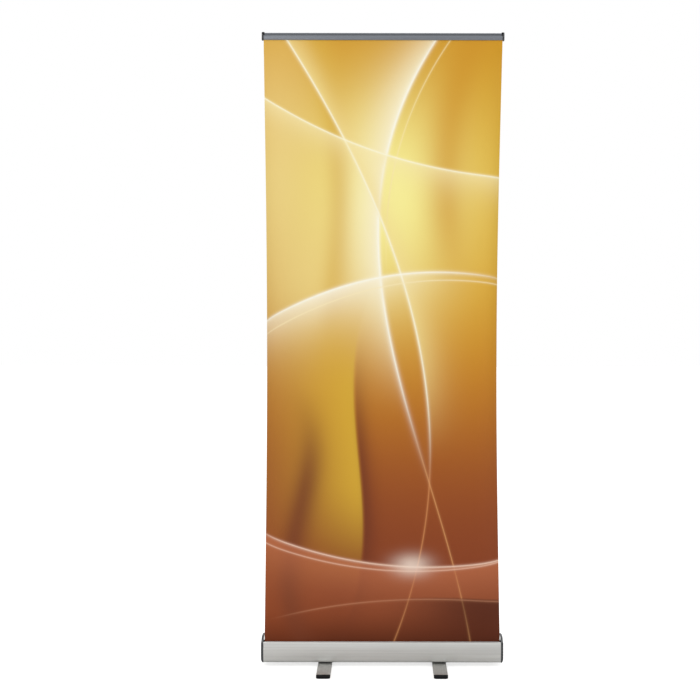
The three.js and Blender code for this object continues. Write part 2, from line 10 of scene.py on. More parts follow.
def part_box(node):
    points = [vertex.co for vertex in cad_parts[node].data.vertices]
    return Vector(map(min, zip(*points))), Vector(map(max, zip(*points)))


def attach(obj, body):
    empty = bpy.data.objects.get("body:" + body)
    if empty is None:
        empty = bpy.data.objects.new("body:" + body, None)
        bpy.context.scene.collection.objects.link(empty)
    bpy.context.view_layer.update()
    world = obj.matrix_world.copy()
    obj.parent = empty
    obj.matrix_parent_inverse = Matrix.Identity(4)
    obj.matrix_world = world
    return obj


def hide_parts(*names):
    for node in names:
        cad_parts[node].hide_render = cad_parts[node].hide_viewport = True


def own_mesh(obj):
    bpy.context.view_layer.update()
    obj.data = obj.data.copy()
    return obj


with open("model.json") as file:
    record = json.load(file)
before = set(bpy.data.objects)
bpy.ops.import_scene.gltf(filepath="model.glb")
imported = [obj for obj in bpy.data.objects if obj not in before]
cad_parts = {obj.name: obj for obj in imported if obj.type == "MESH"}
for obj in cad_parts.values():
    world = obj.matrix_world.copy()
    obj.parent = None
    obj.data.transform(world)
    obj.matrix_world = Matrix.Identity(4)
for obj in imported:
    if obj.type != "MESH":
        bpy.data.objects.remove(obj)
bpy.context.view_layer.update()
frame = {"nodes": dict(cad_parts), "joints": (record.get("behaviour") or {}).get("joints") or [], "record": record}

print("frame loaded:", len(frame["nodes"]), "nodes")


# camera and light: a long lens a little above half height, pale floor, soft boxes

cameraSettings = {
    "place": (0.0084, -4.811, 1.2655),
    "pitch": 2.245,      # degrees down
    "turn": 0.036,       # degrees to the right
    "roll": 0.095,
    "lens": 72.91,
    "shiftX": -0.0514,
}
lightSettings = {
    "key": {"place": (-2.6, -4.2, 3.6), "aim": (0.0, 0.0, 1.0), "size": 2.6, "power": 70.0},
    "fill": {"place": (3.4, -3.6, 2.2), "aim": (0.0, 0.0, 0.9), "size": 2.6, "power": 30.0},
    "top": {"place": (0.0, 1.6, 4.4), "aim": (0.0, 0.0, 0.8), "size": 2.6, "power": 35.0},
}
worldStrength = 0.88
filmInk = {"strength": 0.98, "veil": 0.007}     # lightness of the inks, and what the film's sheen adds back


def makeCamera():
    data = bpy.data.cameras.new("camera")
    data.lens = cameraSettings["lens"]
    data.sensor_width = 36.0
    data.shift_x = cameraSettings["shiftX"]
    camera = bpy.data.objects.new("camera", data)
    bpy.context.scene.collection.objects.link(camera)
    turn = Matrix.Rotation(math.radians(-cameraSettings["turn"]), 4, "Z")
    pitch = Matrix.Rotation(math.radians(90.0 - cameraSettings["pitch"]), 4, "X")
    roll = Matrix.Rotation(math.radians(cameraSettings["roll"]), 4, "Z")
    camera.matrix_world = Matrix.Translation(cameraSettings["place"]) @ turn @ pitch @ roll
    bpy.context.scene.camera = camera


def makeLights():
    for name, values in lightSettings.items():
        data = bpy.data.lights.new(name, "AREA")
        data.shape = "SQUARE"
        data.size = values["size"]
        data.energy = values["power"]
        light = bpy.data.objects.new(name, data)
        bpy.context.scene.collection.objects.link(light)
        light.location = values["place"]
        toAim = Vector(values["aim"]) - Vector(values["place"])
        light.rotation_euler = toAim.to_track_quat("-Z", "Y").to_euler()
    world = bpy.data.worlds.new("studio")
    bpy.context.scene.world = world
    world.use_nodes = True
    tree = world.node_tree
    tree.nodes.clear()
    coords = tree.nodes.new("ShaderNodeTexCoord")
    split = tree.nodes.new("ShaderNodeSeparateXYZ")
    ramp = tree.nodes.new("ShaderNodeValToRGB")
    lift = tree.nodes.new("ShaderNodeMapRange")
    rays = tree.nodes.new("ShaderNodeLightPath")
    soft = tree.nodes.new("ShaderNodeBackground")
    plain = tree.nodes.new("ShaderNodeBackground")
    mix = tree.nodes.new("ShaderNodeMixShader")
    out = tree.nodes.new("ShaderNodeOutputWorld")
    tree.links.new(coords.outputs["Generated"], split.inputs[0])
    lift.inputs["From Min"].default_value = -1.0
    tree.links.new(split.outputs["Z"], lift.inputs["Value"])
    tree.links.new(lift.outputs["Result"], ramp.inputs["Fac"])
    ramp.color_ramp.elements[0].position = 0.42
    ramp.color_ramp.elements[0].color = (0.55, 0.55, 0.56, 1.0)
    ramp.color_ramp.elements[1].position = 0.72
    ramp.color_ramp.elements[1].color = (1.0, 1.0, 1.0, 1.0)
    tree.links.new(ramp.outputs["Color"], soft.inputs["Color"])
    soft.inputs["Strength"].default_value = worldStrength
    plain.inputs["Color"].default_value = (1.0, 1.0, 1.0, 1.0)
    plain.inputs["Strength"].default_value = 1.0
    tree.links.new(rays.outputs["Is Camera Ray"], mix.inputs["Fac"])
    tree.links.new(soft.outputs[0], mix.inputs[1])
    tree.links.new(plain.outputs[0], mix.inputs[2])
    tree.links.new(mix.outputs[0], out.inputs["Surface"])
    bpy.context.scene.view_settings.view_transform = "Standard"


makeCamera()
makeLights()
print("camera and lights placed")


# node helpers

def feed(tree, value, socket):
    if isinstance(value, bpy.types.NodeSocket):
        tree.links.new(value, socket)
    elif value is not None:
        socket.default_value = value


def addMath(tree, operation, first, second=None, third=None, clamp=False):
    node = tree.nodes.new("ShaderNodeMath")
    node.operation = operation
    node.use_clamp = clamp
    for value, socket in zip((first, second, third), node.inputs):
        feed(tree, value, socket)
    return node.outputs[0]


def addStep(tree, value, low, high):
    node = tree.nodes.new("ShaderNodeMapRange")
    node.interpolation_type = "SMOOTHSTEP"
    feed(tree, value, node.inputs["Value"])
    feed(tree, low, node.inputs["From Min"])
    feed(tree, high, node.inputs["From Max"])
    return node.outputs["Result"]


def addMix(tree, share, first, second, blend="MIX"):
    node = tree.nodes.new("ShaderNodeMix")
    node.data_type = "RGBA"
    node.blend_type = blend
    feed(tree, share, node.inputs["Factor"])
    feed(tree, first, node.inputs[6])
    feed(tree, second, node.inputs[7])
    return node.outputs[2]


def addNoise(tree, vector, scale, detail=3.0, roughness=0.5):
    node = tree.nodes.new("ShaderNodeTexNoise")
    feed(tree, vector, node.inputs["Vector"])
    node.inputs["Scale"].default_value = scale
    node.inputs["Detail"].default_value = detail
    node.inputs["Roughness"].default_value = roughness
    return node.outputs["Fac"]


def addStretch(tree, vector, scale):
    node = tree.nodes.new("ShaderNodeMapping")
    feed(tree, vector, node.inputs["Vector"])
    feed(tree, scale, node.inputs["Scale"])
    return node.outputs[0]


def addBump(tree, height, strength, distance):
    node = tree.nodes.new("ShaderNodeBump")
    feed(tree, height, node.inputs["Height"])
    node.inputs["Strength"].default_value = strength
    node.inputs["Distance"].default_value = distance
    return node.outputs[0]


def linear(red, green, blue):
    channels = [channel / 255.0 for channel in (red, green, blue)]
    bent = [c / 12.92 if c <= 0.04045 else ((c + 0.055) / 1.055) ** 2.4 for c in channels]
    return (*bent, 1.0)


def ink(colour):
    laid = [max(filmInk["strength"] * channel - filmInk["veil"], 0.001) for channel in linear(*colour)[:3]]
    return (*laid, 1.0)


def newGroup(name, inputs, outputs):
    group = bpy.data.node_groups.new(name, "ShaderNodeTree")
    kinds = {"value": "NodeSocketFloat", "colour": "NodeSocketColor", "vector": "NodeSocketVector"}
    for label, kind, start in inputs:
        socket = group.interface.new_socket(name=label, in_out="INPUT", socket_type=kinds[kind])
        if start is not None:
            socket.default_value = start
    for label, kind in outputs:
        group.interface.new_socket(name=label, in_out="OUTPUT", socket_type=kinds[kind])
    entry = group.nodes.new("NodeGroupInput")
    leave = group.nodes.new("NodeGroupOutput")
    return group, entry.outputs, leave.inputs


def place(tree, group, values):
    node = tree.nodes.new("ShaderNodeGroup")
    node.node_tree = group
    for label, value in values.items():
        feed(tree, value, node.inputs[label])
    return node.outputs


def newMaterial(name):
    material = bpy.data.materials.new(name)
    material.use_nodes = True
    tree = material.node_tree
    shader = tree.nodes["Principled BSDF"]
    return material, tree, shader.inputs


# shared effects

def makeGrainGroup():
    # fine lines along an extrusion or a drawn tube: short streaks and faint long ones
    group, given, result = newGroup(
        "drawnGrain",
        [("Stretch", "vector", (6.0, 900.0, 900.0)), ("Depth", "value", 0.5)],
        [("Height", "value"), ("Shade", "value")],
    )
    coords = group.nodes.new("ShaderNodeTexCoord").outputs["Object"]
    along = addStretch(group, coords, given["Stretch"])
    fine = addNoise(group, along, 1.0, 4.0, 0.65)
    broad = addNoise(group, along, 0.22, 2.0, 0.5)
    both = addMath(group, "MULTIPLY_ADD", broad, 0.6, addMath(group, "MULTIPLY", fine, 0.4))
    group.links.new(addMath(group, "MULTIPLY", both, given["Depth"]), result["Height"])
    group.links.new(both, result["Shade"])
    return group


def makeWearGroup():
    # brighter, rubbed arrises, broken up so that they are not even
    group, given, result = newGroup(
        "rubbedEdge",
        [("Radius", "value", 0.0008), ("Break", "value", 60.0)],
        [("Mask", "value")],
    )
    bevel = group.nodes.new("ShaderNodeBevel")
    bevel.samples = 6
    group.links.new(given["Radius"], bevel.inputs["Radius"])
    geometry = group.nodes.new("ShaderNodeNewGeometry")
    dot = group.nodes.new("ShaderNodeVectorMath")
    dot.operation = "DOT_PRODUCT"
    group.links.new(bevel.outputs[0], dot.inputs[0])
    group.links.new(geometry.outputs["Normal"], dot.inputs[1])
    edge = addStep(group, dot.outputs["Value"], 0.995, 0.86)
    coords = group.nodes.new("ShaderNodeTexCoord").outputs["Object"]
    noise = group.nodes.new("ShaderNodeTexNoise")
    group.links.new(coords, noise.inputs["Vector"])
    group.links.new(given["Break"], noise.inputs["Scale"])
    worn = addStep(group, noise.outputs["Fac"], 0.38, 0.62)
    group.links.new(addMath(group, "MULTIPLY", edge, worn), result["Mask"])
    return group


def makeDustGroup():
    # thin dust that settles on faces looking up
    group, given, result = newGroup(
        "settledDust",
        [("Amount", "value", 0.25)],
        [("Mask", "value")],
    )
    geometry = group.nodes.new("ShaderNodeNewGeometry")
    split = group.nodes.new("ShaderNodeSeparateXYZ")
    group.links.new(geometry.outputs["Normal"], split.inputs[0])
    upward = addStep(group, split.outputs["Z"], 0.35, 0.98)
    coords = group.nodes.new("ShaderNodeTexCoord").outputs["Object"]
    cloud = addStep(group, addNoise(group, coords, 34.0, 6.0, 0.65), 0.35, 0.75)
    mask = addMath(group, "MULTIPLY", addMath(group, "MULTIPLY", upward, cloud), given["Amount"])
    group.links.new(mask, result["Mask"])
    return group


def makeMouldGroup():
    # spark-eroded skin of a moulded part: fine pits over a slow mottling
    group, given, result = newGroup(
        "mouldedSkin",
        [("Scale", "value", 1400.0)],
        [("Height", "value"), ("Shade", "value")],
    )
    coords = group.nodes.new("ShaderNodeTexCoord").outputs["Object"]
    pits = group.nodes.new("ShaderNodeTexVoronoi")
    group.links.new(coords, pits.inputs["Vector"])
    group.links.new(given["Scale"], pits.inputs["Scale"])
    mottle = addNoise(group, coords, 55.0, 4.0, 0.6)
    group.links.new(pits.outputs["Distance"], result["Height"])
    group.links.new(mottle, result["Shade"])
    return group


def makeSweepGroup():
    # one streak of light in the print: a cubic curve with its own softness on each side
    group, given, result = newGroup(
        "lightSweep",
        [
            ("Under", "colour", None), ("Colour", "colour", None),
            ("Across", "value", 0.0), ("Along", "value", 0.0),
            ("C0", "value", 0.0), ("C1", "value", 0.0), ("C2", "value", 0.0), ("C3", "value", 0.0),
            ("Low Width", "value", 0.01), ("High Width", "value", 0.01), ("Falloff", "value", 1.0),
            ("Start", "value", 0.0), ("End", "value", 1.0), ("Fade", "value", 0.1),
            ("Strength", "value", 1.0),
        ],
        [("Over", "colour")],
    )
    curve = given["C3"]
    for term in ("C2", "C1", "C0"):
        curve = addMath(group, "MULTIPLY_ADD", curve, given["Along"], given[term])
    offset = addMath(group, "SUBTRACT", given["Across"], curve)
    above = addMath(group, "DIVIDE", addMath(group, "MAXIMUM", offset, 0.0), given["High Width"])
    below = addMath(group, "DIVIDE", addMath(group, "MINIMUM", offset, 0.0), given["Low Width"])
    away = addMath(group, "POWER", addMath(group, "SUBTRACT", above, below), given["Falloff"])
    glow = addMath(group, "POWER", math.e, addMath(group, "MULTIPLY", away, -1.0))
    startEnd = addMath(group, "ADD", given["Start"], given["Fade"])
    fadeStart = addMath(group, "SUBTRACT", given["End"], given["Fade"])
    rise = addStep(group, given["Along"], given["Start"], startEnd)
    fall = addMath(group, "SUBTRACT", 1.0, addStep(group, given["Along"], fadeStart, given["End"]))
    mask = addMath(group, "MULTIPLY", glow, addMath(group, "MULTIPLY", rise, fall))
    mask = addMath(group, "MULTIPLY", mask, given["Strength"], clamp=True)
    group.links.new(addMix(group, mask, given["Under"], given["Colour"]), result["Over"])
    return group


def makeGlowGroup():
    # a soft oval of light or shade in the print
    group, given, result = newGroup(
        "softOval",
        [
            ("Under", "colour", None), ("Colour", "colour", None),
            ("Across", "value", 0.0), ("Up", "value", 0.0),
            ("Centre Across", "value", 0.0), ("Centre Up", "value", 0.0),
            ("Wide", "value", 0.1), ("Tall", "value", 0.1), ("Strength", "value", 1.0),
        ],
        [("Over", "colour")],
    )
    squares = []
    for spot, centre, reach in (("Across", "Centre Across", "Wide"), ("Up", "Centre Up", "Tall")):
        gap = addMath(group, "SUBTRACT", given[spot], given[centre])
        share = addMath(group, "ABSOLUTE", addMath(group, "DIVIDE", gap, given[reach]))
        squares.append(addMath(group, "POWER", share, 2.0))
    away = addMath(group, "MULTIPLY", addMath(group, "ADD", squares[0], squares[1]), -1.0)
    glow = addMath(group, "POWER", math.e, away)
    mask = addMath(group, "MULTIPLY", glow, given["Strength"], clamp=True)
    group.links.new(addMix(group, mask, given["Under"], given["Colour"]), result["Over"])
    return group


drawnGrain = makeGrainGroup()
rubbedEdge = makeWearGroup()
settledDust = makeDustGroup()
mouldedSkin = makeMouldGroup()
lightSweep = makeSweepGroup()
softOval = makeGlowGroup()


# finishes of the metal and moulded parts

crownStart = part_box("rail_front_jaw")[1].z - 0.0095     # where the clamp rail's face turns into its round top


def shaded(tone, times, plus=0.0):
    return tuple(min(1.0, times * channel + plus) for channel in tone[:3]) + (1.0,)


def metalFinish(name, tone, stretch, roughness, grain=0.35, wear=0.35, dust=0.0, crown=1.0):
    # crown is how much of the tone is left on the round top of the clamp rail
    material, tree, shader = newMaterial(name)
    lines = place(tree, drawnGrain, {"Stretch": stretch})
    streaks = addStep(tree, lines["Shade"], 0.3, 0.7)
    colour = addMix(tree, streaks, shaded(tone, 0.9), shaded(tone, 1.08))
    if crown < 1.0:
        split = tree.nodes.new("ShaderNodeSeparateXYZ")
        feed(tree, tree.nodes.new("ShaderNodeTexCoord").outputs["Object"], split.inputs[0])
        over = addStep(tree, split.outputs["Z"], crownStart, crownStart + 0.003)
        colour = addMix(tree, over, colour, (crown, crown, crown, 1.0), "MULTIPLY")
    edges = place(tree, rubbedEdge, {})
    rubbed = addMath(tree, "MULTIPLY", edges["Mask"], wear)
    colour = addMix(tree, rubbed, colour, (0.92, 0.92, 0.93, 1.0))
    if dust > 0.0:
        film = place(tree, settledDust, {"Amount": dust})
        colour = addMix(tree, film["Mask"], colour, (0.62, 0.6, 0.57, 1.0))
    feed(tree, colour, shader["Base Color"])
    shader["Metallic"].default_value = 1.0
    uneven = addMath(tree, "MULTIPLY_ADD", lines["Shade"], 0.16, roughness - 0.08)
    smoother = addMath(tree, "MULTIPLY", rubbed, 0.1)
    feed(tree, addMath(tree, "SUBTRACT", uneven, smoother), shader["Roughness"])
    feed(tree, addBump(tree, lines["Height"], grain, 0.0001), shader["Normal"])
    return material


def mouldedFinish(name, tone, roughness, bump=0.25, scale=1400.0, wear=0.12, dust=0.08, gloss=0.5):
    material, tree, shader = newMaterial(name)
    skin = place(tree, mouldedSkin, {"Scale": scale})
    mottle = addStep(tree, skin["Shade"], 0.3, 0.7)
    colour = addMix(tree, mottle, shaded(tone, 0.85), shaded(tone, 1.15))
    edges = place(tree, rubbedEdge, {"Radius": 0.0006})
    scuffs = addMath(tree, "MULTIPLY", edges["Mask"], wear)
    colour = addMix(tree, scuffs, colour, shaded(tone, 1.8, 0.05))
    film = place(tree, settledDust, {"Amount": dust})
    colour = addMix(tree, film["Mask"], colour, (0.6, 0.58, 0.55, 1.0))
    feed(tree, colour, shader["Base Color"])
    uneven = addMath(tree, "MULTIPLY_ADD", skin["Shade"], 0.2, roughness - 0.1)
    feed(tree, uneven, shader["Roughness"])
    shader["Specular IOR Level"].default_value = gloss
    feed(tree, addBump(tree, skin["Height"], bump, 0.0002), shader["Normal"])
    return material


def wovenFinish(name, tone):
    # braided cover of the elastic cord
    material, tree, shader = newMaterial(name)
    coords = tree.nodes.new("ShaderNodeTexCoord").outputs["Object"]
    braid = tree.nodes.new("ShaderNodeTexWave")
    braid.bands_direction = "DIAGONAL"
    feed(tree, addStretch(tree, coords, (900.0, 900.0, 500.0)), braid.inputs["Vector"])
    braid.inputs["Scale"].default_value = 1.0
    colour = addMix(tree, braid.outputs["Fac"], shaded(tone, 1.0), shaded(tone, 2.2))
    feed(tree, colour, shader["Base Color"])
    shader["Roughness"].default_value = 0.85
    feed(tree, addBump(tree, braid.outputs["Fac"], 0.4, 0.0003), shader["Normal"])
    return material


# the drawn lines run along the long side of each profile: across the stand, front to back, or up the pole
satinSilver = metalFinish("satinSilver", (0.72, 0.72, 0.70), (5.0, 700.0, 700.0), 0.42, dust=0.04)
railSilver = metalFinish("railSilver", (0.225, 0.24, 0.265), (5.0, 700.0, 700.0), 0.4, wear=0.2, crown=0.6)
footSilver = metalFinish("footSilver", (0.56, 0.56, 0.54), (700.0, 6.0, 700.0), 0.42, grain=0.45, dust=0.06)
poleSilver = metalFinish("poleSilver", (0.62, 0.63, 0.65), (700.0, 700.0, 6.0), 0.34)
zincSteel = metalFinish("zincSteel", (0.55, 0.56, 0.58), (260.0, 260.0, 260.0), 0.38, wear=0.25)
capGrey = mouldedFinish("capGrey", (0.045, 0.046, 0.05), 0.48)
knobBlack = mouldedFinish("knobBlack", (0.004, 0.004, 0.004), 0.5, wear=0.02, dust=0.0, gloss=0.05)
partBlack = mouldedFinish("partBlack", (0.016, 0.016, 0.018), 0.45)
tipRubber = mouldedFinish(
    "tipRubber", (0.006, 0.006, 0.007), 0.6, bump=0.4, scale=900.0, dust=0.02, gloss=0.15
)
nylonWhite = mouldedFinish("nylonWhite", (0.72, 0.72, 0.69), 0.45, wear=0.0)
braidBlack = wovenFinish("braidBlack", (0.02, 0.02, 0.022))


# printed film: amber field crossed by waves of light, in metres across and up from its lower left corner

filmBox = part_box("banner_graphic")
filmWidth = filmBox[1].x - filmBox[0].x
filmTall = filmBox[1].z - filmBox[0].z

printTop = 2.03      # top of the visible print, which the tones are spread over

leftTones = [
    (0.0, (100, 46, 26)), (0.1, (148, 74, 43)), (0.3, (148, 78, 44)), (0.6, (156, 86, 46)),
    (0.9, (186, 116, 46)), (1.2, (216, 168, 80)), (1.6, (240, 216, 142)), (2.03, (218, 166, 64)),
]
rightTones = [
    (0.0, (84, 38, 21)), (0.1, (140, 70, 42)), (0.3, (136, 67, 41)), (0.6, (160, 86, 42)),
    (0.9, (200, 129, 40)), (1.2, (219, 163, 40)), (1.6, (227, 184, 52)), (2.03, (206, 144, 36)),
]
glows = [
    {"at": (0.42, 1.50), "size": (0.27, 0.34), "colour": (253, 246, 158), "strength": 0.95},
    {"at": (0.16, 1.20), "size": (0.16, 0.24), "colour": (246, 226, 150), "strength": 0.5},
]

# each ribbon follows a cubic through four points; "up" ones run up the film, "over" ones across it.
# soft holds the fade to its low side and to its high side, span where it starts, ends and how it fades
ribbons = {
    "goldVeil": {
        "way": "up", "points": ((0.17, 2.03), (0.25, 1.40), (0.19, 0.75), (0.25, 0.0)),
        "soft": (0.04, 0.05), "power": 2.0, "span": (0.8, 2.4, 0.5),
        "colour": (214, 166, 42), "strength": 0.6,
    },
    "amberVeil": {
        "way": "up", "points": ((0.70, 2.03), (0.62, 1.40), (0.70, 0.75), (0.62, 0.0)),
        "soft": (0.07, 0.06), "power": 2.0, "span": (1.1, 2.4, 0.4),
        "colour": (208, 148, 44), "strength": 0.6,
    },
    "goldFold": {
        "way": "up", "points": ((0.36, 1.20), (0.30, 0.80), (0.33, 0.40), (0.24, 0.0)),
        "soft": (0.19, 0.006), "power": 1.5, "span": (0.16, 1.25, 0.4),
        "colour": (218, 174, 60), "strength": 0.9,
    },
    "umberFold": {
        "way": "up", "points": ((0.10, 0.90), (0.15, 0.60), (0.09, 0.30), (0.13, 0.0)),
        "soft": (0.04, 0.05), "power": 2.0, "span": (-0.2, 0.9, 0.4),
        "colour": (118, 62, 42), "strength": 0.75,
    },
    "foldShade": {
        "way": "up", "points": ((0.375, 1.20), (0.315, 0.80), (0.345, 0.40), (0.255, 0.0)),
        "soft": (0.010, 0.035), "power": 1.6, "span": (-0.1, 1.1, 0.5),
        "colour": (112, 56, 38), "strength": 0.7,
    },
    "firstLight": {
        "way": "up", "points": ((0.575, 2.03), (0.385, 1.42), (0.505, 0.72), (0.70, 0.0)),
        "soft": (0.085, 0.005), "power": 1.35, "span": (0.75, 2.4, 0.6),
        "colour": (251, 241, 206), "strength": 0.92,
        "edge": {"width": 0.006, "span": (0.5, 2.4, 0.5), "colour": (255, 253, 240), "strength": 0.9},
        "twins": [{"offset": 0.0, "tilt": 0.0, "span": (-0.2, 0.8, 0.3), "colour": (232, 168, 108)},
                  {"offset": -0.02, "tilt": 0.034, "span": (1.2, 2.4, 0.3), "colour": (250, 232, 172)}],
    },
    "secondLight": {
        "way": "up", "points": ((0.08, 2.03), (0.40, 1.42), (0.56, 0.72), (0.44, 0.0)),
        "soft": (0.005, 0.060), "power": 1.4, "span": (0.6, 2.4, 0.5),
        "colour": (244, 222, 150), "strength": 0.7,
        "edge": {"width": 0.0038, "span": (0.5, 2.4, 0.4), "colour": (255, 252, 230), "strength": 0.9},
        "twins": [{"offset": 0.0, "tilt": 0.0, "span": (-0.2, 0.7, 0.2), "colour": (224, 152, 96)}],
    },
    "highWave": {
        "way": "over", "points": ((0.0, 1.84), (0.26, 1.705), (0.54, 1.615), (0.8, 1.575)),
        "soft": (0.06, 0.004), "power": 1.3, "span": (-0.3, 1.1, 0.3),
        "colour": (250, 236, 180), "strength": 0.6,
        "edge": {"width": 0.003, "span": (-0.1, 1.1, 0.1), "colour": (255, 252, 228), "strength": 0.85},
    },
    "middleWave": {
        "way": "over", "points": ((0.0, 1.09), (0.26, 1.205), (0.54, 1.255), (0.8, 1.235)),
        "soft": (0.075, 0.005), "power": 1.3, "span": (-0.3, 0.75, 0.6),
        "colour": (253, 245, 222), "strength": 0.9,
        "edge": {"width": 0.0045, "span": (-0.3, 1.0, 0.5), "colour": (255, 253, 240), "strength": 0.9},
        "twins": [{"offset": -0.045, "tilt": 0.03, "span": (-0.1, 1.1, 0.2), "colour": (250, 234, 190)}],
    },
    "copperWave": {
        "way": "over", "points": ((0.0, 0.365), (0.26, 0.285), (0.54, 0.255), (0.8, 0.275)),
        "soft": (0.12, 0.004), "power": 1.5, "span": (-0.3, 1.1, 0.1),
        "colour": (190, 112, 76), "strength": 0.75,
        "edge": {"width": 0.0032, "span": (-0.1, 1.1, 0.2), "colour": (252, 226, 206), "strength": 0.8},
        "twins": [{"offset": -0.03, "tilt": 0.03, "span": (-0.2, 1.1, 0.2), "colour": (244, 200, 174)}],
    },
    "lowWave": {
        "way": "over", "points": ((0.0, 0.07), (0.26, 0.125), (0.54, 0.145), (0.8, 0.135)),
        "soft": (0.15, 0.006), "power": 2.4, "span": (0.35, 1.4, 0.4),
        "colour": (46, 20, 11), "strength": 0.66,
        "edge": {"width": 0.0026, "span": (0.0, 1.1, 0.2), "colour": (214, 150, 114), "strength": 0.5},
    },
}
hairline = {"soft": (0.0022, 0.0022), "power": 1.0, "strength": 0.75}
lastGlow = {"at": (0.50, 0.262), "size": (0.06, 0.035), "colour": (252, 232, 216), "strength": 0.7}


def curveTerms(way, points):
    # cubic through the four points, lowest power first
    along = [point[1] if way == "up" else point[0] for point in points]
    across = [point[0] if way == "up" else point[1] for point in points]
    powers = np.vander(along, 4, increasing=True)
    return [float(term) for term in np.linalg.solve(powers, across)]


def toneRamp(tree, height, tones):
    ramp = tree.nodes.new("ShaderNodeValToRGB")
    feed(tree, height, ramp.inputs["Fac"])
    ramp.color_ramp.interpolation = "B_SPLINE"
    stops = ramp.color_ramp.elements
    while len(stops) < len(tones):
        stops.new(0.5)
    for stop, (up, colour) in zip(stops, tones):
        stop.position = up / printTop
        stop.color = ink(colour)
    return ramp.outputs["Color"]


def addGlow(tree, colour, across, up, glow):
    return place(tree, softOval, {
        "Under": colour, "Colour": ink(glow["colour"]), "Across": across, "Up": up,
        "Centre Across": glow["at"][0], "Centre Up": glow["at"][1],
        "Wide": glow["size"][0], "Tall": glow["size"][1], "Strength": glow["strength"],
    })["Over"]


def addSweep(tree, colour, spots, terms, look):
    return place(tree, lightSweep, {
        "Under": colour, "Colour": ink(look["colour"]), "Across": spots[0], "Along": spots[1],
        "C0": terms[0], "C1": terms[1], "C2": terms[2], "C3": terms[3],
        "Low Width": look["soft"][0], "High Width": look["soft"][1], "Falloff": look["power"],
        "Start": look["span"][0], "End": look["span"][1], "Fade": look["span"][2],
        "Strength": look["strength"],
    })["Over"]


def addRibbon(tree, colour, across, up, ribbon):
    # the soft body first, then its bright edge, then the hairlines that keep it company
    terms = curveTerms(ribbon["way"], ribbon["points"])
    spots = (across, up) if ribbon["way"] == "up" else (up, across)
    colour = addSweep(tree, colour, spots, terms, ribbon)
    if "edge" in ribbon:
        edge = ribbon["edge"]
        sides = (edge["width"], 0.75 * edge["width"])
        colour = addSweep(tree, colour, spots, terms, {**edge, "soft": sides, "power": 1.0})
    for twin in ribbon.get("twins", []):
        near = [terms[0] + twin["offset"], terms[1] + twin["tilt"], terms[2], terms[3]]
        colour = addSweep(tree, colour, spots, near, {**twin, **hairline})
    return colour


def printedFilm():
    material, tree, shader = newMaterial("printedFilm")
    uv = tree.nodes.new("ShaderNodeUVMap")
    uv.uv_map = "print"
    split = tree.nodes.new("ShaderNodeSeparateXYZ")
    feed(tree, uv.outputs[0], split.inputs[0])
    across = addMath(tree, "MULTIPLY", split.outputs["X"], filmWidth)
    up = addMath(tree, "MULTIPLY", split.outputs["Y"], filmTall)
    height = addMath(tree, "DIVIDE", up, printTop)
    left = toneRamp(tree, height, leftTones)
    right = toneRamp(tree, height, rightTones)
    colour = addMix(tree, addStep(tree, across, 0.05, 0.28), left, right)
    for glow in glows:
        colour = addGlow(tree, colour, across, up, glow)
    for ribbon in ribbons.values():
        colour = addRibbon(tree, colour, across, up, ribbon)
    colour = addGlow(tree, colour, across, up, lastGlow)
    feed(tree, colour, shader["Base Color"])
    coords = tree.nodes.new("ShaderNodeTexCoord").outputs["Object"]
    tooth = addNoise(tree, coords, 2600.0, 2.0, 0.5)      # fine tooth of the matt film
    ripple = addNoise(tree, coords, 3.2, 2.0, 0.4)        # slow unevenness of a hanging sheet
    feed(tree, addMath(tree, "MULTIPLY_ADD", tooth, 0.1, 0.42), shader["Roughness"])
    shader["Specular IOR Level"].default_value = 0.16
    height = addMath(tree, "MULTIPLY_ADD", tooth, 0.02, ripple)
    feed(tree, addBump(tree, height, 0.12, 0.004), shader["Normal"])
    return material


def plainFilm():
    # unprinted side: white, faintly warm, with a soft mottling
    material, tree, shader = newMaterial("plainFilm")
    coords = tree.nodes.new("ShaderNodeTexCoord").outputs["Object"]
    mottle = addNoise(tree, coords, 14.0, 5.0, 0.6)
    tooth = addNoise(tree, coords, 2200.0, 2.0, 0.5)
    cloud = addStep(tree, mottle, 0.25, 0.75)
    colour = addMix(tree, cloud, (0.755, 0.755, 0.74, 1.0), (0.785, 0.785, 0.77, 1.0))
    feed(tree, colour, shader["Base Color"])
    feed(tree, addMath(tree, "MULTIPLY_ADD", tooth, 0.12, 0.5), shader["Roughness"])
    feed(tree, addBump(tree, tooth, 0.1, 0.0002), shader["Normal"])
    return material


filmPrint = printedFilm()
filmPlain = plainFilm()
print("materials made")


# mesh helpers

def arc(centre, radius, start, end, steps):
    angles = np.radians(np.linspace(start, end, steps + 1))
    return [(centre[0] + radius * math.cos(a), centre[1] + radius * math.sin(a)) for a in angles]


def bend(first, pull, last, steps=10):
    points = []
    for share in np.linspace(0.0, 1.0, steps + 1):
        near = (1.0 - share) ** 2
        middle = 2.0 * share * (1.0 - share)
        far = share ** 2
        points.append(tuple(near * a + middle * b + far * c for a, b, c in zip(first, pull, last)))
    return points


def tidyOutline(points, gap=1e-6):
    kept = []
    for point in points:
        if not kept or math.dist(point, kept[-1]) > gap:
            kept.append(point)
    if math.dist(kept[0], kept[-1]) <= gap:
        kept.pop()
    return kept


def insetOutline(points, amount):
    # moves each point of a closed anticlockwise outline inwards
    moved = []
    count = len(points)
    for index, point in enumerate(points):
        before = Vector(points[index - 1])
        after = Vector(points[(index + 1) % count])
        along = (after - before).normalized()
        inward = Vector((-along.y, along.x))
        moved.append((point[0] + inward.x * amount, point[1] + inward.y * amount))
    return moved


def turnedAnticlockwise(points):
    area = 0.0
    for index, (a, b) in enumerate(points):
        c, d = points[(index + 1) % len(points)]
        area += a * d - c * b
    return points if area > 0.0 else points[::-1]


def inSpace(axis, position, point):
    if axis == "x":
        return (position, point[0], point[1])
    if axis == "y":
        return (point[0], position, point[1])
    return (point[0], point[1], position)


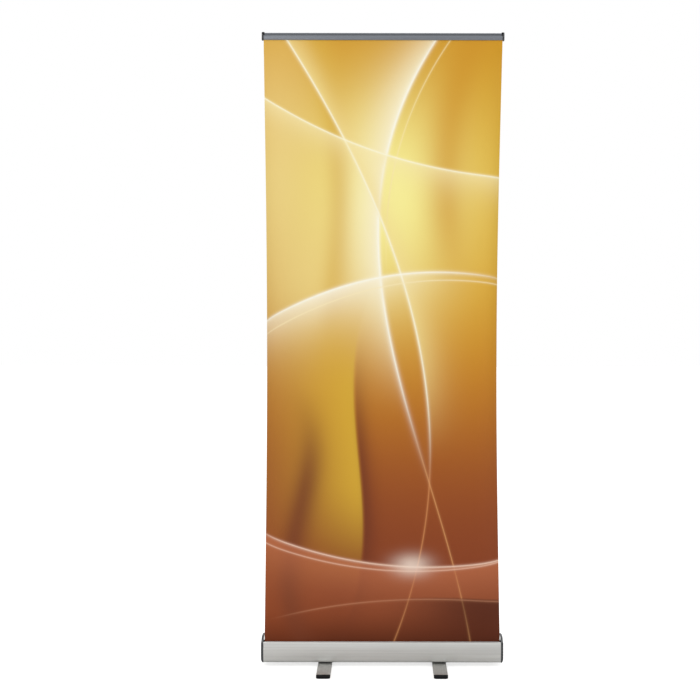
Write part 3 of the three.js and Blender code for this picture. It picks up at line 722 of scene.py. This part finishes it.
def finishMesh(name, mesh, material, sharp=35.0):
    mesh.polygons.foreach_set("use_smooth", [True] * len(mesh.polygons))
    mesh.set_sharp_from_angle(angle=math.radians(sharp))
    mesh.update()
    piece = bpy.data.objects.new(name, mesh)
    bpy.context.scene.collection.objects.link(piece)
    piece.data.materials.append(material)
    return piece


def meshFrom(build):
    bmesh.ops.recalc_face_normals(build, faces=build.faces)
    mesh = bpy.data.meshes.new("mesh")
    build.to_mesh(mesh)
    build.free()
    return mesh


def prism(name, outline, axis, stations, material, sharp=35.0):
    # outline carried along an axis; a station is a position, and how far the outline shrinks or changes there
    outline = turnedAnticlockwise(tidyOutline(outline))
    build = bmesh.new()
    rings = []
    for position, shrink in stations:
        ring = shrink(outline) if callable(shrink) else insetOutline(outline, shrink)
        rings.append([build.verts.new(inSpace(axis, position, point)) for point in ring])
    for first, second in zip(rings, rings[1:]):
        for index in range(len(outline)):
            after = (index + 1) % len(outline)
            build.faces.new((first[index], first[after], second[after], second[index]))
    build.faces.new(rings[0][::-1])
    build.faces.new(rings[-1])
    return finishMesh(name, meshFrom(build), material, sharp)


def turned(name, profile, material, steps=56, sharp=35.0, axis="z"):
    # closed profile of radius and height pairs turned about an axis through the origin
    build = bmesh.new()
    rings = []
    for index in range(steps):
        angle = 2.0 * math.pi * index / steps
        ring = []
        for radius, height in profile:
            point = (radius * math.cos(angle), radius * math.sin(angle))
            ring.append(build.verts.new(inSpace(axis, height, point)))
        rings.append(ring)
    for index in range(steps):
        first = rings[index]
        second = rings[(index + 1) % steps]
        for step in range(len(profile)):
            after = (step + 1) % len(profile)
            build.faces.new((first[step], second[step], second[after], first[after]))
    bmesh.ops.remove_doubles(build, verts=build.verts, dist=1e-7)
    bmesh.ops.dissolve_degenerate(build, edges=build.edges, dist=1e-7)
    return finishMesh(name, meshFrom(build), material, sharp)


def rounded(low, high, radius, steps=6):
    return (
        arc((high[0] - radius, high[1] - radius), radius, 0, 90, steps)
        + arc((low[0] + radius, high[1] - radius), radius, 90, 180, steps)
        + arc((low[0] + radius, low[1] + radius), radius, 180, 270, steps)
        + arc((high[0] - radius, low[1] + radius), radius, 270, 360, steps)
    )


def softEnds(low, high, radius, steps=4):
    # stations for a prism whose two ends are rounded over by radius
    stations = []
    for index in range(steps + 1):
        angle = math.radians(90.0 * index / steps)
        stations.append((low + radius * (1.0 - math.sin(angle)), radius * (1.0 - math.cos(angle))))
    first = sorted(stations)
    last = [(low + high - position, shrink) for position, shrink in first]
    return first + last[::-1]


def applied(piece):
    # the piece with its modifiers made real
    bpy.context.view_layer.update()
    graph = bpy.context.evaluated_depsgraph_get()
    mesh = bpy.data.meshes.new_from_object(piece.evaluated_get(graph))
    piece.modifiers.clear()
    piece.data = mesh
    return piece


def carve(piece, cutters, operation="DIFFERENCE"):
    for cutter in cutters:
        tool = piece.modifiers.new("carve", "BOOLEAN")
        tool.operation = operation
        tool.solver = "EXACT"
        tool.object = cutter
    applied(piece)
    for cutter in cutters:
        bpy.data.objects.remove(cutter)
    piece.data.polygons.foreach_set("use_smooth", [True] * len(piece.data.polygons))
    piece.data.set_sharp_from_angle(angle=math.radians(35.0))
    return piece


def settle(piece, body, slotName, *nodes):
    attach(piece, body)
    if nodes:
        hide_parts(*nodes)
    return piece


# base housing, rebuilt with fine curves on the frame's section

housingLook = {
    "wall": 0.002, "lipBead": 0.0035, "slot": 0.0105, "slotBead": 0.0018, "lipInset": 0.00325,
    "cornerRound": 0.011, "hoodCorner": 0.005, "hoodEdge": 0.3, "capThick": 0.008, "capProud": 0.0007,
    "capRound": 0.0028, "capFootRound": 0.0125, "groove": 0.0005, "grooveWide": 0.0012,
    "grooveHeights": (0.2, 0.3, 0.7, 0.8),      # down the back, as shares of its height
    "recessRadius": 0.0037, "recessDepth": 0.0021,
}
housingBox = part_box("base_housing")
filmY = (filmBox[0].y + filmBox[1].y) / 2.0
lipTop = filmBox[0].z


def housingOutside(grow, grooves=False):
    look = housingLook
    lipY = filmY - look["slot"] / 2.0 - look["lipBead"]
    lipZ = lipTop - look["lipBead"]
    slotBackY = filmY + look["slot"] / 2.0
    frontY = lipY - look["lipBead"] - grow
    backY = housingBox[1].y + grow
    bottom = housingBox[0].z - grow
    top = housingBox[1].z + grow
    slotZ = lipTop + (housingBox[1].z - lipTop) * look["hoodEdge"]
    corner = look["cornerRound"]
    lowerY = frontY - look["lipInset"] / 2.0
    lowerZ = housingBox[0].z + corner
    bulgeY = 2.0 * (housingBox[0].y - grow) - (frontY + lowerY) / 2.0
    bulgeZ = (lipZ + lowerZ) / 2.0
    tuck = (lowerY - bulgeY) * corner / (bulgeZ - lowerZ)
    path = bend((frontY, lipZ), (bulgeY, bulgeZ), (lowerY, lowerZ), 18)
    path += bend((lowerY, lowerZ), (lowerY + tuck, bottom), (frontY + corner, bottom), 8)
    path += bend((backY - corner, bottom), (backY, bottom), (backY, lowerZ), 8)
    if grooves:
        for share in look["grooveHeights"]:
            z = lowerZ + share * (top - lowerZ)
            half = look["grooveWide"] / 2.0
            deep = backY - look["groove"]
            path += [(backY, z - half), (deep, z - 0.6 * half), (deep, z + 0.6 * half), (backY, z + half)]
    hood = look["hoodCorner"]
    path += bend((backY, top - hood - grow), (backY, top), (backY - hood, top), 8)
    hoodFront = (slotBackY + look["slotBead"] - grow, slotZ)
    path += bend((slotBackY + 2.4 * look["slot"], top), (slotBackY + look["slot"], top), hoodFront, 14)
    return tidyOutline(path), (lipY, lipZ), (slotBackY + look["slotBead"], slotZ)


def makeHousing():
    look = housingLook
    outside, lipCentre, slotCentre = housingOutside(0.0, grooves=True)
    plain, _, _ = housingOutside(0.0)
    inside = []
    for index, point in enumerate(plain):
        before = Vector(plain[max(index - 1, 0)])
        after = Vector(plain[min(index + 1, len(plain) - 1)])
        along = (after - before).normalized()
        inside.append((point[0] - along.y * look["wall"], point[1] + along.x * look["wall"]))
    # the inner skin stops short of the two beads that the slot runs between
    backReach = (slotCentre[0] + 0.0015, slotCentre[1] - 0.005)
    frontReach = lipCentre[1] - 0.0025
    inside = [p for p in inside if not (filmY < p[0] < backReach[0] and p[1] > backReach[1])]
    inside = [p for p in inside if not (p[0] < filmY and p[1] > frontReach)]
    outline = outside + arc(slotCentre, look["slotBead"], 105, 290, 10)
    outline += inside[::-1]
    outline += arc(lipCentre, look["lipBead"], 236, 536, 28)
    ends = (housingBox[0].x, housingBox[1].x)
    housing = prism("housing", outline, "x", [(x, 0.0) for x in np.linspace(*ends, 9)], satinSilver, 28.0)
    return settle(housing, "base", "anodised_aluminium", "base_housing")


def makeEndCap(name, side):
    look = housingLook
    outside, lipCentre, _ = housingOutside(look["capProud"])
    lipRound = look["lipBead"] + look["capProud"]
    outline = outside + [(lipCentre[0], lipTop + look["capProud"])] + arc(lipCentre, lipRound, 90, 176, 8)
    innerX = housingBox[1].x + 0.0003
    footZ = housingBox[0].z - look["capProud"]

    def roundedOff(share):
        # the rim rounds in all round, and the underside sweeps up towards the outer face
        def change(points):
            lift = max(share * look["capFootRound"], 1e-6)
            ring = insetOutline(points, share * look["capRound"])
            return [(y, z + lift * math.exp((footZ - z) / (1.1 * lift))) for y, z in ring]
        return change

    stations = [(side * innerX, 0.0003), (side * (innerX + 0.0003), 0.0)]
    for index in range(12):
        angle = math.radians(90.0 * index / 11)
        x = innerX + 0.0008 + (look["capThick"] - 0.0008) * math.sin(angle)
        stations.append((side * x, roundedOff(1.0 - math.cos(angle))))
    cap = prism(f"end_cap_shell_{name}", outline, "x", stations, capGrey, 40.0)
    deep = -look["recessDepth"]
    wide = look["recessRadius"]
    clear = 2.5 * look["capThick"]
    profile = [(0.0, deep), (wide, deep), (wide, clear), (0.0, clear)]
    recesses = []
    for screw in ("front", "rear", "top"):
        low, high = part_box(f"end_cap_screw_{name}_{screw}")
        middle = (low + high) / 2.0
        outerX = max(abs(low.x), abs(high.x))
        recess = turned("recess", profile, capGrey, 36, axis="x")
        recess.location = (side * outerX, middle.y, middle.z)
        if side < 0:
            recess.rotation_euler = (0.0, 0.0, math.pi)
        recesses.append(recess)
    carve(cap, recesses)
    return settle(cap, "base", "cap_plastic", f"end_cap_{name}")


makeHousing()
for capName, capSide in (("left", -1), ("right", 1)):
    makeEndCap(capName, capSide)
print("base made")


# film, front and back, with the long edges curling backwards

filmLook = {
    "thick": 0.0003, "columns": 120, "rows": 220, "crowding": 0.18,
    "left": {"strip": 0.085, "pull": 0.0078, "power": 1.3},
    "right": {"strip": 0.10, "pull": 0.0128, "power": 1.3},
    "ease": 1.5, "drift": 0.0006,
    "held": 0.016,       # flat this far up from the lip
    "heldTop": 0.003,    # and this far down from the rail
    "settle": 0.03,      # share of the height that eases into the curl
    "shy": 0.0005,
}


def filmAngles(height, spots):
    # how far the sheet has turned backwards at each spot across, from the middle out
    low = filmLook["held"]
    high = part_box("rail_front_jaw")[0].z - filmBox[0].z - filmLook["heldTop"]
    share = min(max((height - low) / (high - low), 0.0), 1.0)
    near = min(min(share, 1.0 - share) / filmLook["settle"], 1.0)
    loose = near * near * (3.0 - 2.0 * near)
    angles = np.zeros_like(spots)
    half = filmWidth / 2.0
    ease = filmLook["ease"]
    for side, look in ((-1.0, filmLook["left"]), (1.0, filmLook["right"])):
        into = np.clip((side * spots - (half - look["strip"])) / look["strip"], 0.0, 1.0)
        inset = look["pull"] * loose * math.sin(math.pi * share) ** look["power"]
        most = math.sqrt(2.0 * inset * (2.0 * ease + 1.0) / look["strip"])
        angles += most * into ** ease
    return angles


def makeFilm():
    columns = filmLook["columns"]
    rows = filmLook["rows"]
    shares = np.linspace(-1.0, 1.0, columns + 1)
    closer = filmLook["crowding"] * np.sin(math.pi * shares)     # columns crowd together near the edges
    spots = filmWidth / 2.0 * (shares + closer)
    middles = (spots[1:] + spots[:-1]) / 2.0
    widths = np.diff(spots)
    centre = columns // 2
    build = bmesh.new()
    layer = build.loops.layers.uv.new("print")
    grid = []
    for row in range(rows + 1):
        share = row / rows
        angles = filmAngles(share * filmTall, middles)
        across = np.concatenate(([0.0], np.cumsum(widths * np.cos(angles))))
        depth = np.concatenate(([0.0], np.cumsum(widths * np.sin(angles) * np.sign(middles))))
        across -= across[centre]
        depth -= depth[centre]
        wave = np.sin(2.6 * math.pi * shares + 5.0 * share)
        drift = filmLook["drift"] * math.sin(math.pi * share) * wave
        z = filmBox[0].z + share * filmTall
        grid.append([build.verts.new((x, filmY + y + d, z)) for x, y, d in zip(across, depth, drift)])
    flat = (spots / filmWidth) + 0.5
    for row in range(rows):
        for column in range(columns):
            corners = [(row, column), (row, column + 1), (row + 1, column + 1), (row + 1, column)]
            face = build.faces.new([grid[r][c] for r, c in corners])
            for loop, (r, c) in zip(face.loops, corners):
                loop[layer].uv = (flat[c], r / rows)
    mesh = bpy.data.meshes.new("film")
    build.to_mesh(mesh)
    build.free()
    film = bpy.data.objects.new("printed_film", mesh)
    bpy.context.scene.collection.objects.link(film)
    mesh.materials.append(filmPrint)
    mesh.materials.append(filmPlain)
    mesh.polygons.foreach_set("use_smooth", [True] * len(mesh.polygons))
    solid = film.modifiers.new("thickness", "SOLIDIFY")
    solid.thickness = filmLook["thick"]
    solid.offset = -1.0
    solid.material_offset = 1
    solid.material_offset_rim = 1
    applied(film)
    film.data.set_sharp_from_angle(angle=math.radians(50.0))
    settle(film, "base", "printed_film", "banner_graphic")
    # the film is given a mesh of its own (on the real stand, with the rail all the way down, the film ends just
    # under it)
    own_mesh(film)
    return film


makeFilm()
print("film made")


# clamp rail: front jaw clipped round the bead of the rear jaw, black plugs at the ends

railLook = {
    "bead": 0.0038, "gap": 0.0003, "wall": 0.0017, "step": 0.0012, "beadBack": 0.002, "ledge": 0.008,
    "ledgeThick": 0.0025, "lowRound": 0.0007, "knob": 0.0046, "knobRise": 0.0038, "knobInset": 0.0027,
    "capThick": 0.006, "capProud": 0.0012,
}
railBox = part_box("rail_rear_jaw")
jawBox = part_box("rail_front_jaw")


def railPlaces():
    look = railLook
    clipInner = look["bead"] + look["gap"]
    clipOuter = clipInner + look["wall"]
    beadY = filmY + look["beadBack"]
    beadZ = jawBox[1].z - clipOuter
    return clipInner, clipOuter, beadY, beadZ


def makeRail():
    look = railLook
    clipInner, clipOuter, beadY, beadZ = railPlaces()
    bottom = railBox[0].z
    wall = look["wall"]
    ends = (railBox[0].x, railBox[1].x)
    stations = [(x, 0.0) for x in np.linspace(*ends, 7)]
    pinch = filmLook["thick"] / 2.0 + look["gap"]

    faceY = beadY - clipOuter + look["step"]
    meetOut = 360.0 - math.degrees(math.acos((faceY - beadY) / clipOuter))
    meetIn = 360.0 - math.degrees(math.acos((faceY + wall - beadY) / clipOuter))
    small = look["lowRound"]
    outline = arc((beadY, beadZ), clipOuter, 2.0, meetOut - 6.0, 34)
    hollow = beadZ + clipOuter * math.sin(math.radians(meetOut))
    outline += bend(outline[-1], (faceY, hollow + 0.0004), (faceY, hollow - 0.0009), 4)
    rib = ((0.0, 0.0052), (0.0003, 0.0048), (0.0003, 0.0036), (0.0, 0.0032))      # thin rib low on the face
    outline += [(faceY - proud, bottom + up) for proud, up in rib]
    outline += arc((faceY + small, bottom + small), small, 180, 270, 5)
    outline += [(filmY - pinch, bottom), (filmY - pinch, bottom + wall), (faceY + wall, bottom + wall)]
    outline += [(faceY + wall, beadZ + clipOuter * math.sin(math.radians(meetIn)))]
    outline += arc((beadY, beadZ), clipOuter, meetIn + 2.0, 248.0, 3)
    outline += arc((beadY, beadZ), clipInner, 248.0, 2.0, 34)
    jaw = prism("rail_front", outline, "x", stations, railSilver, 30.0)
    notchRail(jaw, clipOuter, beadY, beadZ)
    settle(jaw, "rail_jaw", "rail_aluminium", "rail_front_jaw")

    rearY = filmY + clipOuter
    neckY = beadY - 0.0002
    shelf = (bottom + wall + beadZ - clipOuter) / 2.0
    ledge = rearY + look["ledge"]
    outline = arc((beadY, beadZ), look["bead"], -66.0, 267.0, 34)
    outline += [(neckY, shelf + 0.0002), (neckY + 0.0002, shelf), (rearY - wall, shelf)]
    outline += [(rearY - wall, bottom + wall), (filmY + pinch, bottom + wall), (filmY + pinch, bottom)]
    nip = 0.0006
    shelfTop = bottom + look["ledgeThick"]
    outline += [(ledge - nip, bottom), (ledge, bottom + nip), (ledge, shelfTop - nip)]
    outline += [(ledge - nip, shelfTop), (rearY + 0.0012, shelfTop)]
    outline += bend((rearY + 0.001, shelfTop), (rearY, shelfTop), (rearY, shelfTop + 0.001), 3)
    outline += arc((rearY - 0.0008, shelf + wall - 0.0008), 0.0008, 0, 90, 4)
    outline += [(neckY + wall + 0.0003, shelf + wall), (neckY + wall, shelf + wall + 0.0004)]
    rear = prism("rail_rear", outline, "x", stations, railSilver, 30.0)
    notchRail(rear, clipOuter, beadY, beadZ)
    settle(rear, "rail", "rail_aluminium", "rail_rear_jaw")

    for name, side in (("left", -1), ("right", 1)):
        low = (beadY - clipOuter - look["capProud"], bottom - look["capProud"])
        high = (ledge + look["capProud"], beadZ + look["bead"])
        first = side * (ends[1] + look["gap"])
        last = first + side * look["capThick"]
        softened = [(x, abs(shrink)) for x, shrink in softEnds(first, last, side * 0.0012)]
        plate = prism(f"rail_cap_plate_{name}", rounded(low, high, 0.0026), "x", softened, capGrey, 40.0)
        settle(plate, "rail", "cap_plastic", f"rail_cap_{name}")
        makeRailKnob(name, side, last, (beadY, beadZ), clipOuter)


def makeRailKnob(name, side, outerX, bead, bossRadius):
    # black plug closing the round bead, with a round knob above it
    look = railLook
    length = abs(outerX) - railBox[1].x + look["knobInset"]
    knob = roundPlug(f"rail_bead_plug_{name}", look["knob"], length)
    knob.data.transform(Matrix.Translation((0.0, 0.0, look["knobRise"])))
    carve(knob, [roundPlug("boss", bossRadius, length)], "UNION")
    knob.data.transform(Matrix.Scale(side, 4, (1.0, 0.0, 0.0)))
    if side < 0:
        knob.data.flip_normals()
    knob.location = (outerX - side * length, bead[0], bead[1])
    settle(knob, "rail", "cap_plastic")


def roundPlug(name, radius, length):
    # starts at the origin and runs out along X, its outer rim rounded more than its inner one
    rim = 0.0016
    profile = [(0.0, 0.0), (radius - 0.0004, 0.0), (radius, 0.0004)]
    profile += arc((radius - rim, length - rim), rim, 0, 90, 6) + [(0.0, length)]
    return turned(name, profile, knobBlack, 48, axis="x")


def notchRail(piece, clipOuter, beadY, beadZ):
    # room at both ends for the plugs
    reach = railLook["knobInset"] + railLook["gap"]
    wide = clipOuter + railLook["gap"]
    profile = [(0.0, -reach), (wide, -reach), (wide, reach), (0.0, reach)]
    cutters = []
    for side in (-1, 1):
        cutter = turned("notch", profile, knobBlack, 48, axis="x")
        cutter.location = (side * railBox[1].x, beadY, beadZ)
        cutters.append(cutter)
    carve(piece, cutters)


makeRail()
print("rail made")


# feet: grooved flat bars on pivots, rubber-nosed tips

footLook = {
    "wall": 0.0025, "side": 0.003, "grooves": 9, "grooveWide": 0.0014, "grooveDeep": 0.0006,
    "margin": 0.005,     # from the outer grooves to the bar's edges
    "nose": 0.0098, "gap": 0.0003,
    "soleRim": ((0.0, 0.003), (0.0004, 0.0018), (0.0012, 0.0008), (0.003, 0.0)),       # height, inset
    "topRim": ((0.0042, 0.0), (0.0028, 0.0003), (0.0014, 0.0011), (0.0005, 0.0022), (0.0, 0.0036)),
}


def makeFoot(name):
    look = footLook
    low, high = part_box(f"foot_bar_{name}")
    middleX = (low.x + high.x) / 2.0
    half = (high.x - low.x) / 2.0
    outline = arc((half - look["side"], high.z - look["side"]), look["side"], 0, 90, 6)
    wide = look["grooveWide"] / 2.0
    deep = high.z - look["grooveDeep"]
    outermost = half - look["margin"]
    for x in np.linspace(outermost, -outermost, look["grooves"]):
        outline += [(x + wide, high.z), (x + 0.55 * wide, deep), (x - 0.55 * wide, deep), (x - wide, high.z)]
    outline += arc((-half + look["side"], high.z - look["side"]), look["side"], 90, 180, 6)
    inner = half - look["wall"]
    roof = high.z - look["wall"]
    outline += [(-half, low.z), (-inner, low.z), (-inner, roof), (inner, roof), (inner, low.z), (half, low.z)]
    stations = [(y, 0.0) for y in np.linspace(low.y, high.y, 9)]
    bar = prism(f"foot_rail_{name}", outline, "y", stations, footSilver, 30.0)
    bar.data.transform(Matrix.Translation((middleX, 0.0, 0.0)))
    settle(bar, f"foot_{name}", "anodised_aluminium", f"foot_bar_{name}")
    for end, way in (("front", -1), ("rear", 1)):
        tipLow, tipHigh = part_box(f"foot_tip_{end}_{name}")
        outerY = tipLow.y if way < 0 else tipHigh.y
        barEnd = low.y if way < 0 else high.y
        length = abs(outerY - barEnd)
        nose = look["nose"]
        plan = [(-half, 0.0), (half, 0.0)]
        plan += arc((half - nose, length - nose), nose, 0, 90, 10)
        plan += arc((-half + nose, length - nose), nose, 90, 180, 10)
        stations = list(look["soleRim"])
        stations += [(high.z - down, inset) for down, inset in look["topRim"]]
        tip = prism(f"foot_shoe_{end}_{name}", plan, "z", stations, tipRubber, 45.0)
        turn = Matrix.Rotation(math.pi if way < 0 else 0.0, 4, "Z")
        tip.data.transform(Matrix.Translation((middleX, barEnd + way * look["gap"], 0.0)) @ turn)
        settle(tip, f"foot_{name}", "tip_rubber", f"foot_tip_{end}_{name}")


for footName in ("left", "right"):
    makeFoot(footName)
print("feet made")


# pole: three drawn tubes on ferrules, socket in the hood, hook under the rail's ledge

poleLook = {
    "radius": 0.008, "wall": 0.001, "gap": 0.0003, "soft": 0.0004, "collar": 0.003, "cordRoom": 0.004,
    "socketWall": 0.0017, "socketFloor": 0.002, "flange": 0.002,
    "hookPlug": 0.030, "hookShoulder": 0.001, "hookRim": 0.0012,
    "hookHole": 0.0023, "hookRoom": 0.0045, "hookRoomDepth": 0.014,      # for the cord and its stop
    "fingerWide": 0.014, "fingerThick": 0.006, "fingerDrop": 0.008, "fingerRoot": 0.006,
}
poleJoint = next(j for j in frame["joints"] if j["name"] == "pole_turn")
poleFoot = Vector(poleJoint["pos_m"])
poleLine = Vector(poleJoint["axis"]).normalized()
poleMatrix = Matrix.Translation(poleFoot) @ poleLine.to_track_quat("Z", "Y").to_matrix().to_4x4()
if (poleMatrix.to_3x3() @ Vector((0.0, 1.0, 0.0))).y < 0.0:
    poleMatrix = poleMatrix @ Matrix.Rotation(math.pi, 4, "Z")


def alongPole(node):
    # lowest and highest place of a node measured along the pole
    heights = [(v.co - poleFoot).dot(poleLine) for v in frame["nodes"][node].data.vertices]
    return min(heights), max(heights)


def onPole(piece):
    piece.data.transform(poleMatrix)
    return piece


def makePole():
    look = poleLook
    radius = look["radius"]
    bore = radius - look["wall"]
    plug = bore - look["gap"]
    soft = look["soft"]
    for name in ("lower", "middle", "upper"):
        low, high = alongPole(f"pole_tube_{name}")
        profile = [(bore, low + soft), (bore + soft, low), (radius - soft, low), (radius, low + soft)]
        profile += [(radius, high - soft), (radius - soft, high), (bore + soft, high), (bore, high - soft)]
        tube = onPole(turned(f"pole_section_{name}", profile, poleSilver, 64))
        settle(tube, "pole", "anodised_aluminium", f"pole_tube_{name}")
    for name in ("lower", "upper"):
        low, high = alongPole(f"pole_ferrule_{name}")
        middle = (low + high) / 2.0
        half = look["collar"] / 2.0
        under, over = middle - half, middle + half
        profile = [(look["cordRoom"], low), (plug, low), (plug, under), (radius - soft, under)]
        profile += [(radius, under + soft), (radius, over - soft), (radius - soft, over)]
        profile += [(plug, over), (plug, high), (look["cordRoom"], high)]
        ferrule = onPole(turned(f"pole_joint_{name}", profile, zincSteel, 56))
        settle(ferrule, "pole", "steel", f"pole_ferrule_{name}")
    makeCollar()
    makeHook(plug)


def makeCollar():
    look = poleLook
    low, high = alongPole("pole_socket")
    inner = look["radius"] + look["gap"]
    outer = inner + look["socketWall"]
    thick = look["flange"]
    rim = thick / 2.0
    rest = low + look["socketFloor"]
    profile = [(0.0, low), (outer, low), (outer, high - thick), (outer + look["socketWall"], high - thick)]
    profile += arc((outer + look["socketWall"] - rim, high - rim), rim, 0, 90, 4)
    profile += [(inner + 0.0005, high), (inner, high - 0.0005), (inner, rest), (0.0, rest)]
    collar = onPole(turned("pole_collar", profile, partBlack, 56))
    settle(collar, "base", "black_plastic", "pole_socket")


def makeHook(plug):
    # round body above the plug, with a flat finger reaching forward under the rail's ledge
    look = poleLook
    low, high = alongPole("pole_top_hook")
    body = look["radius"] + look["hookShoulder"]
    seat = low + look["hookPlug"]
    hole, room, rim = look["hookHole"], look["hookRoom"], look["hookRim"]
    profile = [(hole, low), (plug, low), (plug, seat), (body - 0.0006, seat), (body, seat + 0.0006)]
    profile += arc((body - rim, high - rim), rim, 0, 90, 5)
    profile += [(room, high), (room, high - look["hookRoomDepth"]), (hole, high - look["hookRoomDepth"])]
    hook = turned("pole_hook", profile, partBlack, 56)
    toLine = poleMatrix.inverted()
    reach = min((toLine @ v.co).y for v in frame["nodes"]["pole_top_hook"].data.vertices)
    half = look["fingerWide"] / 2.0
    top = high - look["fingerDrop"]
    plan = rounded((-half, reach), (half, -look["fingerRoot"]), 0.0025)
    finger = prism("finger", plan, "z", softEnds(top - look["fingerThick"], top, 0.0008), partBlack)
    carve(hook, [finger], "UNION")
    settle(onPole(hook), "pole", "black_plastic", "pole_top_hook")


makePole()
print("pole made")


# finishes of the carried-over nodes

slotFinish = {
    "anodised_aluminium": satinSilver, "rail_aluminium": railSilver, "cap_plastic": capGrey,
    "black_plastic": partBlack, "tip_rubber": tipRubber, "white_plastic": nylonWhite, "steel": zincSteel,
    "printed_film": filmPlain, "film_back": filmPlain, "cord_cover": braidBlack,
}
for entry in frame["record"]["subparts"]:
    node = frame["nodes"][entry["node"]]
    node.data.materials.clear()
    node.data.materials.append(slotFinish[entry["material_slot"]])
print("carried-over nodes finished")


# floor

def makeFloor():
    mesh = bpy.data.meshes.new("floor")
    half = 20.0
    corners = [(-half, -half, 0.0), (half, -half, 0.0), (half, half, 0.0), (-half, half, 0.0)]
    mesh.from_pydata(corners, [], [(0, 1, 2, 3)])
    floor = bpy.data.objects.new("floor", mesh)
    bpy.context.scene.collection.objects.link(floor)
    material, tree, shader = newMaterial("paleFloor")
    shader["Base Color"].default_value = (0.62, 0.62, 0.61, 1.0)
    shader["Roughness"].default_value = 0.7
    shader["Specular IOR Level"].default_value = 0.1
    seen = tree.nodes.new("ShaderNodeLightPath").outputs["Is Camera Ray"]
    # to the eye it is washed out like a lit studio sweep, but it lights nothing
    lift = addMix(tree, seen, (0.0, 0.0, 0.0, 1.0), (0.66, 0.66, 0.66, 1.0))
    feed(tree, lift, shader["Emission Color"])
    shader["Emission Strength"].default_value = 1.0
    mesh.materials.append(material)


makeFloor()
